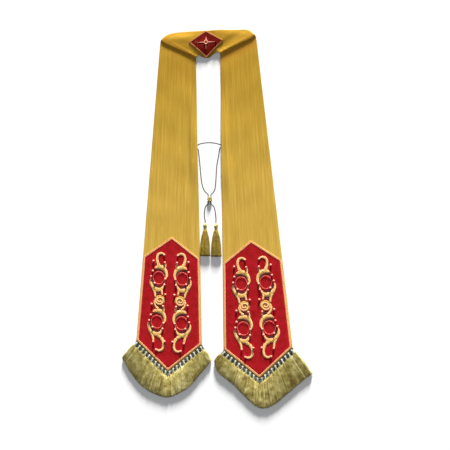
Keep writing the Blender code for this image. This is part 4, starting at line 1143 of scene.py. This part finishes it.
# Emblem. A diamond of dark red satin on the neck piece, edged with the same braid in a narrower
# width, with a four-pointed star in pink and gold satin stitch.
EMBLEM_CORNERS = [
    Vector((-0.0610, -0.0060)), Vector((-0.0065, -0.0548)),
    Vector((0.0470, -0.0050)), Vector((-0.0080, 0.0283)),
]
EMBLEM_EDGING = 0.0036
EDGING_THICKNESS = 0.0016
EMBLEM_TUCK = 0.0015
EMBLEM_CELLS = 24
EDGING_STEP = 0.003
STAR_CENTRE = Vector((-0.0072, -0.0085))
STAR_STEPS = 12
STAR_ROOT = 0.03
STAR_TAPER = 1.1
STAR_POINT_WIDTH = 0.0004
STAR_HEIGHT = 0.0004
STAR_PER_WIDTH = 0.16
STAR_FULL_HEIGHT = 0.0012
STAR_RING_RADIUS = 0.0052
STAR_RING_LEVEL = 0.0028
STAR_RING_THREAD = 0.0022
STAR_RING_LAY = 0.005
STAR_RING_STATIONS = 24
# One row for each arm: turn in degrees, length and width at the root
STAR_ARMS = ((0, 0.034, 0.0056), (180, 0.033, 0.0056), (90, 0.021, 0.0092), (270, 0.021, 0.0092),
             (45, 0.0110, 0.0048), (135, 0.0110, 0.0048), (225, 0.0110, 0.0048), (315, 0.0110, 0.0048))


def on_neck(point, lift):
    """A point this far above the neck piece's upper side."""
    return flat(point, neck_level(Vector(point[:2])) + WALL / 2 + SEAM_GAP + lift)


dark_satin = satin_finish(
    "dark_red_satin", (0.086, 0.0034, 0.0012), (0.132, 0.0044, 0.0016), (0.192, 0.0070, 0.0034),
    patch_scale=90.0,
)
corners = inset_outline(EMBLEM_CORNERS, EMBLEM_EDGING - EMBLEM_TUCK)
rows = []
for i in range(EMBLEM_CELLS + 1):
    row = []
    for j in range(EMBLEM_CELLS + 1):
        near = mix(corners[0], corners[1], j / EMBLEM_CELLS)
        far = mix(corners[3], corners[2], j / EMBLEM_CELLS)
        row.append(on_neck(mix(near, far, i / EMBLEM_CELLS), PANEL_THICKNESS / 2))
    rows.append(row)
emblem_cloth = add_sheet(
    "emblem_cloth", rows, PANEL_THICKNESS, dark_satin, "dark_red_cloth", "emblem_ground",
)

emblem_braid = braid_finish(
    "dull_salmon_braid", (0.440, 0.140, 0.045), (0.560, 0.210, 0.075), (0.660, 0.290, 0.120),
)
outlines = [inset_outline(EMBLEM_CORNERS, EMBLEM_EDGING * share) for share, _ in BRAID_SECTION]
rows = outline_rows(outlines, [0.0] * len(outlines), EDGING_STEP)
rows = [
    [on_neck(point, EDGING_THICKNESS * height) for point in row]
    for row, (_, height) in zip(rows, BRAID_SECTION)
]
emblem_edging = add_closed_piece(
    "emblem_edging", rows, emblem_braid, "braid", "emblem_braid", uvs=braid_uvs(rows),
)

star_thread = plain_thread_finish(
    "pink_gold_satin_stitch", (0.46, 0.11, 0.08), (0.62, 0.22, 0.15), pitch=0.0007, roughness=0.6,
)
bm = bmesh.new()
for turn, length, width in STAR_ARMS:
    aim = Vector((math.cos(math.radians(turn)), math.sin(math.radians(turn))))
    placed = []
    for step in range(STAR_STEPS + 1):
        share = step / STAR_STEPS
        here = STAR_CENTRE + aim * length * mix(STAR_ROOT, 1, share)
        placed.append((here, max(width * (1 - share) ** STAR_TAPER, STAR_POINT_WIDTH)))
    before = len(bm.verts)
    add_stroke(bm, placed, 0.0, STAR_HEIGHT, STAR_PER_WIDTH, STAR_FULL_HEIGHT)
    bm.verts.ensure_lookup_table()
    for vert in bm.verts[before:]:
        vert.co.z += on_neck(vert.co.xy, PANEL_THICKNESS).z
close_skin(bm)
emblem_star = add_piece("emblem_star_work", bm, star_thread, "goldwork", "emblem_star")

bm = bmesh.new()
line = []
for turn in round_turns(STAR_RING_STATIONS):
    aim = Vector((math.cos(turn), math.sin(turn)))
    line.append(on_neck(STAR_CENTRE + aim * STAR_RING_RADIUS, STAR_RING_LEVEL))
add_thread_ring(bm, line, STAR_RING_THREAD, STAR_RING_LAY)
close_skin(bm)
star_ring = add_piece("emblem_star_ring", bm, goldwork, "goldwork")

# Fringes. Each pointed hem has a narrow heading strip, dark with painted shade. Cream cords run down
# from it in bunches, with open gaps between them where a net of dark threads paints the shadow, and
# from the foot of each bunch a lock of long olive-gold threads falls.
LOCKS = 20
LOCK_PITCH = 2 / LOCKS
LOCK_SHADES = 0.10
LOCK_LEAN = 0.05
# A lock's root lies at this share of the strip's width, and the hem beside it is read within this
# share of a pitch to each side
LOCK_ROOT = 0.3
LOCK_REACH = 0.2
FRINGE_SEED = 11
FRINGE_STRIP = 0.0030
FRINGE_STRIP_THICKNESS = 0.0020
# The strip's section: share of its width, and share of its thickness
STRIP_SECTION = ((0.0, 0.0), (0.0, 0.7), (0.15, 1.0), (0.85, 1.0), (1.0, 0.7), (1.0, 0.0))
STRIP_STATIONS_PER_SIDE = 40
GAP_DEPTH = 0.0160
LOCK_TOP = 0.0118
HEADING_CORDS = 7
HEADING_CORD_RADIUS = 0.0009
HEADING_CROWN = 0.0008
# One row for each point of a heading cord: depth below the hem, share of the pitch, and level
HEADING_ROWS = (
    (0.0000, 0.30, 0.0040), (0.0040, 0.26, 0.0043), (0.0080, 0.27, 0.0046), (0.0120, 0.36, 0.0048),
    (0.0160, 0.50, 0.0046),
)
NET_THREADS = 14
NET_RADIUS = 0.0009
NET_LEVELS = (0.0009, 0.0015)
NET_SPREAD = 0.8
NET_END = 0.98
NET_DROP = 1.15
NET_SLANT = 0.2
THREADS_PER_LOCK = 150
THREAD_RADIUS = 0.00062
# One row for each point of a thread: share of its length, lowest and highest level, and width
THREAD_ROWS = (
    (0.00, 0.0014, 0.0044, 0.8), (0.07, 0.0013, 0.0052, 1.0), (0.18, 0.0012, 0.0062, 1.1),
    (0.42, 0.0010, 0.0076, 1.1), (0.70, 0.0009, 0.0082, 1.1), (0.96, 0.0008, 0.0080, 1.0),
    (1.00, 0.0007, 0.0070, 0.8),
)
# How far the threads of a lock spread over its pitch, where they start and where they end
START_SPREAD = 0.52
END_SPREAD = 1.04
# How much the threads vary: where they start and end, their length, their bends and their shades
START_VARIES = 0.0007
END_VARIES = 0.10
LENGTH_VARIES = 0.013
SWAY_VARIES = 0.0016
CURL_VARIES = 0.0007
SHADE_VARIES = 0.16
# Where the threads end, from the outer corner round to the inner one
FRINGE_TIPS = {
    "left": (
        (-0.277, -0.988), (-0.255, -1.024), (-0.219, -1.068), (-0.177, -1.094), (-0.132, -1.105),
        (-0.098, -1.093), (-0.061, -1.069), (-0.029, -1.032), (0.009, -0.987),
    ),
    "right": (
        (0.316, -1.013), (0.294, -1.030), (0.241, -1.077), (0.202, -1.111), (0.165, -1.124),
        (0.131, -1.107), (0.077, -1.057), (0.031, -1.021), (0.018, -0.987),
    ),
}
FRINGE_TIP_LINES = {name: smooth_route(tips, 161) for name, tips in FRINGE_TIPS.items()}
FLOOR_CLEARANCE = 0.0003
Lock = namedtuple("Lock", "half along root fall hem_line")


def hem_place(half, along, out_by):
    """A point near the pointed hem, from -1 on the outer corner to 1 on the inner one."""
    slope = Vector((HEM_WIDTH / 2, HEM_POINT)).normalized()
    out = -along * HEM_WIDTH / 2
    down = BAND_LENGTH + HEM_POINT * (1 - abs(along))
    if abs(along) < 1e-6:
        return band_point(half, 0, down + out_by / slope.x)
    side = -1 if along > 0 else 1
    return band_point(half, out + side * slope.y * out_by, down + slope.x * out_by)


def fringe_end(half, along):
    """Where the threads from a place on the hem end."""
    line = FRINGE_TIP_LINES[half.name]
    spot = min(max((along + 1) / 2, 0), 1) * (len(line) - 1)
    first = min(int(spot), len(line) - 2)
    return mix(line[first], line[first + 1], spot - first)


def new_lock(half, along):
    """A lock's place: its root on the hem, the way it falls, and one pitch of the hem beside it."""
    fall = (fringe_end(half, along) - hem_place(half, along, 0)).normalized()
    beside = LOCK_REACH * LOCK_PITCH
    hem_line = hem_place(half, along + beside, 0) - hem_place(half, along - beside, 0)
    root = hem_place(half, along, SEAM_GAP + FRINGE_STRIP * LOCK_ROOT)
    return Lock(half, along, root, fall, hem_line / (2 * LOCK_REACH))


def heading_paths(lock, lean):
    """The bunch of cream cords above one lock, drawn in below the hem."""
    paths = []
    for step in range(HEADING_CORDS):
        spot = 2 * step / (HEADING_CORDS - 1) - 1
        path = []
        for depth, width, level in HEADING_ROWS:
            aside = spot * width / 2 + lean * depth / GAP_DEPTH
            place = lock.root + lock.fall * depth + lock.hem_line * aside
            path.append((*place, level - HEADING_CROWN * abs(spot)))
        paths.append(path)
    return paths


def net_paths(lock):
    """The threads of the net in the gap beside one lock, dark with painted shadow."""
    paths = []
    for step in range(NET_THREADS):
        spot = (step + 0.5) / NET_THREADS - 0.5
        along = min(max(lock.along + (0.5 + spot * NET_SPREAD) * LOCK_PITCH, -NET_END), NET_END)
        start = hem_place(lock.half, along, SEAM_GAP + FRINGE_STRIP)
        slant = NET_SLANT if step % 2 else -NET_SLANT
        drop = lock.fall * GAP_DEPTH * NET_DROP + lock.hem_line * slant
        level = FLOOR_CLEARANCE + NET_LEVELS[step % 2]
        paths.append([(*(start + drop * share), level) for share in (0.0, 0.25, 0.5, 0.75, 1.0)])
    return paths


def lock_thread(lock, chance):
    """One thread of a lock, from the foot of its bunch of cords to the fringe's end."""
    spot = chance.uniform(-1, 1)
    layer = chance.uniform(0, 1)
    depth = mix(LOCK_TOP, GAP_DEPTH, spot * spot) + chance.normal(0, START_VARIES)
    begin = lock.root + lock.fall * depth + lock.hem_line * spot * START_SPREAD
    end_spot = spot * END_SPREAD + chance.normal(0, END_VARIES)
    end = fringe_end(lock.half, lock.along + end_spot * LOCK_PITCH / 2)
    run = (end - begin) * (1 + chance.normal(0, LENGTH_VARIES))
    sway, curl = chance.normal(0, SWAY_VARIES), chance.normal(0, CURL_VARIES)
    across = Vector((lock.fall.y, -lock.fall.x))
    path = []
    for share, low, high, _ in THREAD_ROWS:
        aside = sway * math.sin(math.pi * share) + curl * math.sin(3 * math.pi * share)
        place = begin + run * share + across * aside
        path.append((*place, FLOOR_CLEARANCE + mix(low, high, layer)))
    return path


def add_threads(name, paths, radius, shades, finish, slot, *nodes, sides=3):
    """Makes a piece of thin threads. Its UVs are each thread's own shade and the share along it."""
    paths = np.asarray(paths, float)
    threads, points, _ = paths.shape
    along = np.gradient(paths, axis=1)
    along /= np.linalg.norm(along, axis=2, keepdims=True)
    side = np.cross(along, (0.0, 0.0, 1.0))
    side /= np.maximum(np.linalg.norm(side, axis=2, keepdims=True), 1e-9)
    up = np.cross(side, along)
    turns = np.pi / 2 + 2 * np.pi * np.arange(sides) / sides
    radius = np.broadcast_to(np.asarray(radius, float), (threads, points))[:, :, None, None]
    ring = side[:, :, None] * np.cos(turns)[:, None] + up[:, :, None] * np.sin(turns)[:, None]
    verts = (paths[:, :, None] + ring * radius).reshape(-1, 3) + np.array(layout_origin)
    first = np.arange(threads * points).reshape(threads, points) * sides
    here, there = first[:, :-1].reshape(-1, 1), first[:, 1:].reshape(-1, 1)
    at = np.arange(sides)
    after = (at + 1) % sides
    quads = np.stack([here + at, here + after, there + after, there + at], axis=2).reshape(-1, 4)
    starts = first[:, :1] + at[::-1]
    ends = first[:, -1:] + at
    mesh = bpy.data.meshes.new(name)
    mesh.from_pydata(verts, [], quads.tolist() + starts.tolist() + ends.tolist())
    uv_map = mesh.uv_layers.new(name="UVMap")
    share = np.tile(np.repeat(np.linspace(0, 1, points), sides), threads)
    shade = np.repeat(np.asarray(shades, float), points * sides)
    at_loop = np.empty(len(mesh.loops), int)
    mesh.loops.foreach_get("vertex_index", at_loop)
    uv_map.data.foreach_set("uv", np.stack([shade[at_loop], share[at_loop]], axis=1).ravel())
    mesh.update()
    return place_piece(mesh, finish, slot, *nodes)


def thread_finish(name, dark, plain, light, blotch, root_dark):
    """Threads that each have their own shade, in soft patches, and darker at the root: a painted shade.
    """
    finish, tree, shader = new_finish(
        name, Roughness=0.65, Specular_IOR_Level=0.15, Sheen_Weight=0.05, Sheen_Roughness=0.5,
    )
    shade, along = uv_parts(tree)
    patches = noise_on(tree, object_places(tree), blotch, 3.0)
    factor = plus(tree, times(tree, shade, 0.35), times(tree, patches, 0.65))
    colour = colours_by(tree, factor, (0.30, dark), (0.50, plain), (0.72, light))
    # Painted shade: darker towards the root, where the threads start under the heading or the tassel's
    # head
    root = colours_by(tree, along, (0.0, (root_dark,) * 3), (0.16, (1.0,) * 3))
    colour = blend_colours(tree, 1.0, colour, root, "MULTIPLY")
    tree.links.new(colour, shader.inputs["Base Color"])
    return finish


olive_thread = thread_finish(
    "olive_gold_fringe", (0.150, 0.095, 0.010), (0.390, 0.328, 0.086), (0.710, 0.640, 0.320),
    blotch=70.0, root_dark=0.55,
)
cream_thread = thread_finish(
    "cream_heading_cord", (0.190, 0.195, 0.140), (0.300, 0.305, 0.235), (0.430, 0.430, 0.350),
    blotch=60.0, root_dark=0.9,
)
# Painted shadow: the dark colour of the net threads in the gaps and of the heading strip
painted_shadow_thread = thread_finish(
    "shaded_heading_net", (0.034, 0.035, 0.024), (0.066, 0.068, 0.046), (0.120, 0.120, 0.084),
    blotch=80.0, root_dark=0.8,
)
for half in HALVES:
    chance = np.random.default_rng(FRINGE_SEED + half.side)
    threads = []
    shades = []
    heading = []
    net = []
    for place_on_hem in range(LOCKS):
        lock = new_lock(half, (place_on_hem + 0.5) * LOCK_PITCH - 1)
        lock_shade = chance.uniform(-LOCK_SHADES, LOCK_SHADES)
        heading += heading_paths(lock, chance.normal(0, LOCK_LEAN))
        net += net_paths(lock)
        for _ in range(THREADS_PER_LOCK):
            threads.append(lock_thread(lock, chance))
            shades.append(min(max(0.5 + lock_shade + chance.normal(0, SHADE_VARIES), 0), 1))
    radii = [THREAD_RADIUS * width for _, _, _, width in THREAD_ROWS]
    strip = []
    for station in range(2 * STRIP_STATIONS_PER_SIDE + 1):
        along = station / STRIP_STATIONS_PER_SIDE - 1
        ring = []
        for share, height in STRIP_SECTION:
            place = hem_place(half, along, SEAM_GAP + FRINGE_STRIP * share)
            ring.append(flat(place, FLOOR_CLEARANCE + FRINGE_STRIP_THICKNESS * height))
        strip.append(ring)
    heading_shades = chance.uniform(0.3, 0.8, len(heading))
    net_shades = chance.uniform(0, 1, len(net))
    name = f"{half.name}_fringe"
    add_threads(f"{name}_threads", threads, radii, shades, olive_thread, "fringe", name)
    add_threads(
            f"{name}_cords", heading, HEADING_CORD_RADIUS, heading_shades, cream_thread, "fringe",
            sides=6,
        )
    add_threads(f"{name}_net", net, NET_RADIUS, net_shades, painted_shadow_thread, "fringe", sides=4)
    # The strip is dark with painted shade
    add_closed_piece(f"{name}_strip", strip, painted_shadow_thread, "fringe")

# Sliding knot. Both runs of the cord pass through a short barrel of bright gold thread, wound in
# four turns.
KNOT_TURNS = 4
KNOT_GROOVE = 0.10
KNOT_END_ROUND = 0.30
KNOT_STEPS = 8 * KNOT_TURNS
KNOT_STATIONS = 24
KNOT_STRAND_PITCH = 0.0007


def bright_thread_finish():
    finish, tree, shader = new_finish("bright_gold_thread", Roughness=0.35, Metallic=0.35)
    strands = bands_on(tree, uv_places(tree), KNOT_STRAND_PITCH, waver=0.8)
    patches = noise_on(tree, uv_places(tree), 250.0)
    colour = colours_by(
        tree, patches, (0.3, (0.34, 0.27, 0.06)), (0.55, (0.50, 0.42, 0.12)),
        (0.75, (0.68, 0.61, 0.26)),
    )
    tree.links.new(colour, shader.inputs["Base Color"])
    add_relief(tree, shader, strands, 0.0003)
    return finish


bright_gold = bright_thread_finish()
rings = []
for step in range(KNOT_STEPS + 1):
    share = step / KNOT_STEPS
    wave = 1 - KNOT_GROOVE * (1 - abs(math.sin(math.pi * share * KNOT_TURNS)))
    wave -= KNOT_END_ROUND * abs(2 * share - 1) ** 8
    y = (share - 0.5) * KNOT_SIZE.y
    ring = []
    for turn in round_turns(KNOT_STATIONS):
        x, z = KNOT_SIZE.x / 2 * wave * math.cos(turn), KNOT_SIZE.z / 2 * wave * math.sin(turn)
        ring.append(KNOT_PLACE + Vector((x, y, z)))
    rings.append(ring)
add_closed_piece("wound_knot", rings, bright_gold, "cord", "slide_knot")

# Tassels. Each has a small round head of bright gold thread, bound at the neck, and a full skirt of
# dull gold threads that spreads on the table.
TASSEL_TURNS = {-1: math.radians(-0.2), 1: math.radians(0.6)}
TASSEL_SKIRT_TOP = 0.0175
TASSEL_LENGTH = 0.099
TASSEL_THREADS = 900
TASSEL_SEED = 31
# One row for each ring of the head: distance from the top, half width and half thickness
TASSEL_HEAD = (
    (0.0003, 0.0016, 0.0016), (0.0012, 0.0034, 0.0030), (0.0030, 0.0052, 0.0045),
    (0.0055, 0.0061, 0.0050), (0.0085, 0.0062, 0.0051), (0.0115, 0.0056, 0.0047),
    (0.0135, 0.0046, 0.0040), (0.0145, 0.0050, 0.0043), (0.0155, 0.0047, 0.0041),
    (0.0165, 0.0051, 0.0043), (0.0178, 0.0046, 0.0040),
)
HEAD_STATIONS = 32
HEAD_RIBS = 16
HEAD_RIB_SHARE = 0.03
# One row for each point of a skirt thread: share of its length, the skirt's half width, half
# thickness and level there, and the thread's radius
SKIRT_ROWS = (
    (-0.02, 0.0036, 0.0034, 0.0, 0.0004), (0.08, 0.0060, 0.0042, -0.0002, 0.00055),
    (0.30, 0.0098, 0.0046, -0.0003, 0.00062), (0.60, 0.0130, 0.0044, -0.0006, 0.00060),
    (0.96, 0.0156, 0.0042, -0.0006, 0.00056), (1.00, 0.0162, 0.0038, -0.0008, 0.00045),
)
SKIRT_ROUNDING = 0.7
SKIRT_LENGTH_VARIES = 0.012
SKIRT_SWAY_VARIES = 0.0012


def head_rings(place):
    """Rings round a tassel's head, with the ribs of its winding."""
    rings = []
    for distance, half_width, half_thickness in TASSEL_HEAD:
        ring = []
        for turn in round_turns(HEAD_STATIONS):
            rib = 1 + HEAD_RIB_SHARE * math.cos(HEAD_RIBS * turn)
            x, z = half_width * rib * math.cos(turn), half_thickness * rib * math.sin(turn)
            ring.append(place @ Vector((x, -distance, z)))
        rings.append(ring)
    return rings


def skirt_thread(place, chance):
    """One thread of a tassel's skirt, from the binding to the end."""
    turn = chance.uniform(0, 2 * math.pi)
    reach = math.sqrt(chance.uniform(0, 1))
    spot = chance.uniform(-1, 1)
    rise = reach * math.sin(turn) * math.sqrt(1 - SKIRT_ROUNDING * spot ** 2)
    length = (TASSEL_LENGTH - TASSEL_SKIRT_TOP) * (1 + chance.normal(0, SKIRT_LENGTH_VARIES))
    sway = chance.normal(0, SKIRT_SWAY_VARIES)
    path = []
    for share, half_width, half_thickness, level, _ in SKIRT_ROWS:
        x = spot * half_width + sway * math.sin(math.pi * max(share, 0.0))
        y = -TASSEL_SKIRT_TOP - length * share
        path.append(tuple(place @ Vector((x, y, level + rise * half_thickness))))
    return path


tassel_thread = thread_finish(
    "dull_gold_tassel", (0.155, 0.095, 0.004), (0.300, 0.202, 0.013), (0.490, 0.360, 0.040),
    blotch=120.0, root_dark=0.6,
)
for side, word in ((-1, "left"), (1, "right")):
    chance = np.random.default_rng(TASSEL_SEED + side)
    place = Matrix.Translation(TASSEL_TOPS[side]) @ Matrix.Rotation(TASSEL_TURNS[side], 4, "Z")
    name = f"{word}_tassel"
    add_closed_piece(f"{name}_head", head_rings(place), bright_gold, "tassel")
    threads = [skirt_thread(place, chance) for _ in range(TASSEL_THREADS)]
    radii = [radius for *_, radius in SKIRT_ROWS]
    shades = chance.uniform(0.1, 0.9, len(threads))
    add_threads(f"{name}_skirt", threads, radii, shades, tassel_thread, "tassel", name)

# Sewing. Small stitches of salmon thread hold both edges of each panel's braid. Each one is a short
# arch that sinks into the braid at its ends.
STITCH_PITCH = 0.0034
STITCH_LENGTH = 0.0022
STITCH_START = 0.0005
STITCH_ARCH = 0.0002
STITCH_RADIUS = 0.00022
STITCH_FROM_EDGE = 0.0004
STITCH_LEVEL = WALL + SEAM_GAP + BRAID_THICKNESS * 0.62


def even_points(points, samples):
    """Evenly spaced points on a straight-sided line."""
    lengths = np.cumsum([0.0] + [(end - start).length for start, end in zip(points, points[1:])])
    wanted = np.linspace(0, lengths[-1], samples)
    x = np.interp(wanted, lengths, [point[0] for point in points])
    y = np.interp(wanted, lengths, [point[1] for point in points])
    return [Vector(place) for place in zip(x, y)]


def stitch_paths(line):
    """Short arched stitches along a line."""
    low, high = STITCH_LEVEL - STITCH_ARCH, STITCH_LEVEL + STITCH_ARCH
    route = even_points(line, int(route_length(line) / STITCH_PITCH) + 1)
    paths = []
    for start, end in zip(route, route[1:]):
        along = (end - start).normalized()
        first = start + along * STITCH_START
        last = first + along * STITCH_LENGTH
        arch = ((0.0, low), (0.3, high), (0.7, high), (1.0, low))
        paths.append([(*mix(first, last, share), level) for share, level in arch])
    return paths


sewing = thread_finish(
    "salmon_sewing", (0.55, 0.26, 0.09), (0.74, 0.40, 0.17), (0.88, 0.58, 0.32),
    blotch=50.0, root_dark=1.0,
)
for half in HALVES:
    paths = []
    for inset in (STITCH_FROM_EDGE, BRAID_WIDTH - STITCH_FROM_EDGE):
        outline = panel_outline(half, BRAID_OUTER_INSET + inset)
        paths += stitch_paths(outline + outline[:1])
    shades = [0.5] * len(paths)
    add_threads(f"{half.name}_braid_stitches", paths, STITCH_RADIUS, shades, sewing, "braid", sides=4)

# Studio. A pale table top, a broad soft light above, and a low window light from beyond the neck
# piece that throws soft shadows towards the hems.
SUN_STRENGTH = 14.3
SUN_HEIGHT = math.radians(11)
SUN_TURN = math.radians(-6)
SUN_WIDTH = math.radians(11)
TOP_LIGHT_PLACE = Vector((0.1, -1.1, 2.2))
TOP_LIGHT_AIM = Vector((0.0, -0.55, 0.0))
TOP_LIGHT_SIZE = 2.4
TOP_LIGHT_STRENGTH = 11
ROOM_STRENGTH = 0.18
TABLE_HALF_SIZE = 6.0
TABLE_LEVEL = -0.0004

sun_data = bpy.data.lights.new("window_light", "SUN")
sun_data.energy = SUN_STRENGTH
sun_data.angle = SUN_WIDTH
sun_data.color = (1.0, 0.985, 0.96)
sun = bpy.data.objects.new("window_light", sun_data)
sun.rotation_euler = (SUN_HEIGHT - math.radians(90), 0, SUN_TURN)
scene.collection.objects.link(sun)
top_data = bpy.data.lights.new("top_light", "AREA")
top_data.energy = TOP_LIGHT_STRENGTH
top_data.size = TOP_LIGHT_SIZE
top_light = bpy.data.objects.new("top_light", top_data)
top_light.location = layout_origin + TOP_LIGHT_PLACE
aim = layout_origin + TOP_LIGHT_AIM - top_light.location
top_light.rotation_euler = aim.to_track_quat("-Z", "Y").to_euler()
scene.collection.objects.link(top_light)
# The photograph's light shows no shadow of the thin cord
for piece in cord_pieces.values():
    piece.visible_shadow = False

room = bpy.data.worlds.new("studio")
room.use_nodes = True
background = room.node_tree.nodes["Background"]
background.inputs["Color"].default_value = (0.93, 0.96, 1.0, 1.0)
background.inputs["Strength"].default_value = ROOM_STRENGTH
scene.world = room

table, tree, shader = new_finish("table_top", Roughness=0.75)
mottle = noise_on(tree, object_places(tree), 3.0)
colour = colours_by(tree, mottle, (0.3, (0.90, 0.90, 0.91)), (0.7, (0.93, 0.93, 0.93)))
tree.links.new(colour, shader.inputs["Base Color"])
bm = bmesh.new()
table_place = Matrix.Translation((0, 0, TABLE_LEVEL))
bmesh.ops.create_grid(bm, x_segments=1, y_segments=1, size=TABLE_HALF_SIZE, matrix=table_place)
mesh = bpy.data.meshes.new("floor")
bm.to_mesh(mesh)
bm.free()
mesh.materials.append(table)
floor = bpy.data.objects.new("floor", mesh)
scene.collection.objects.link(floor)
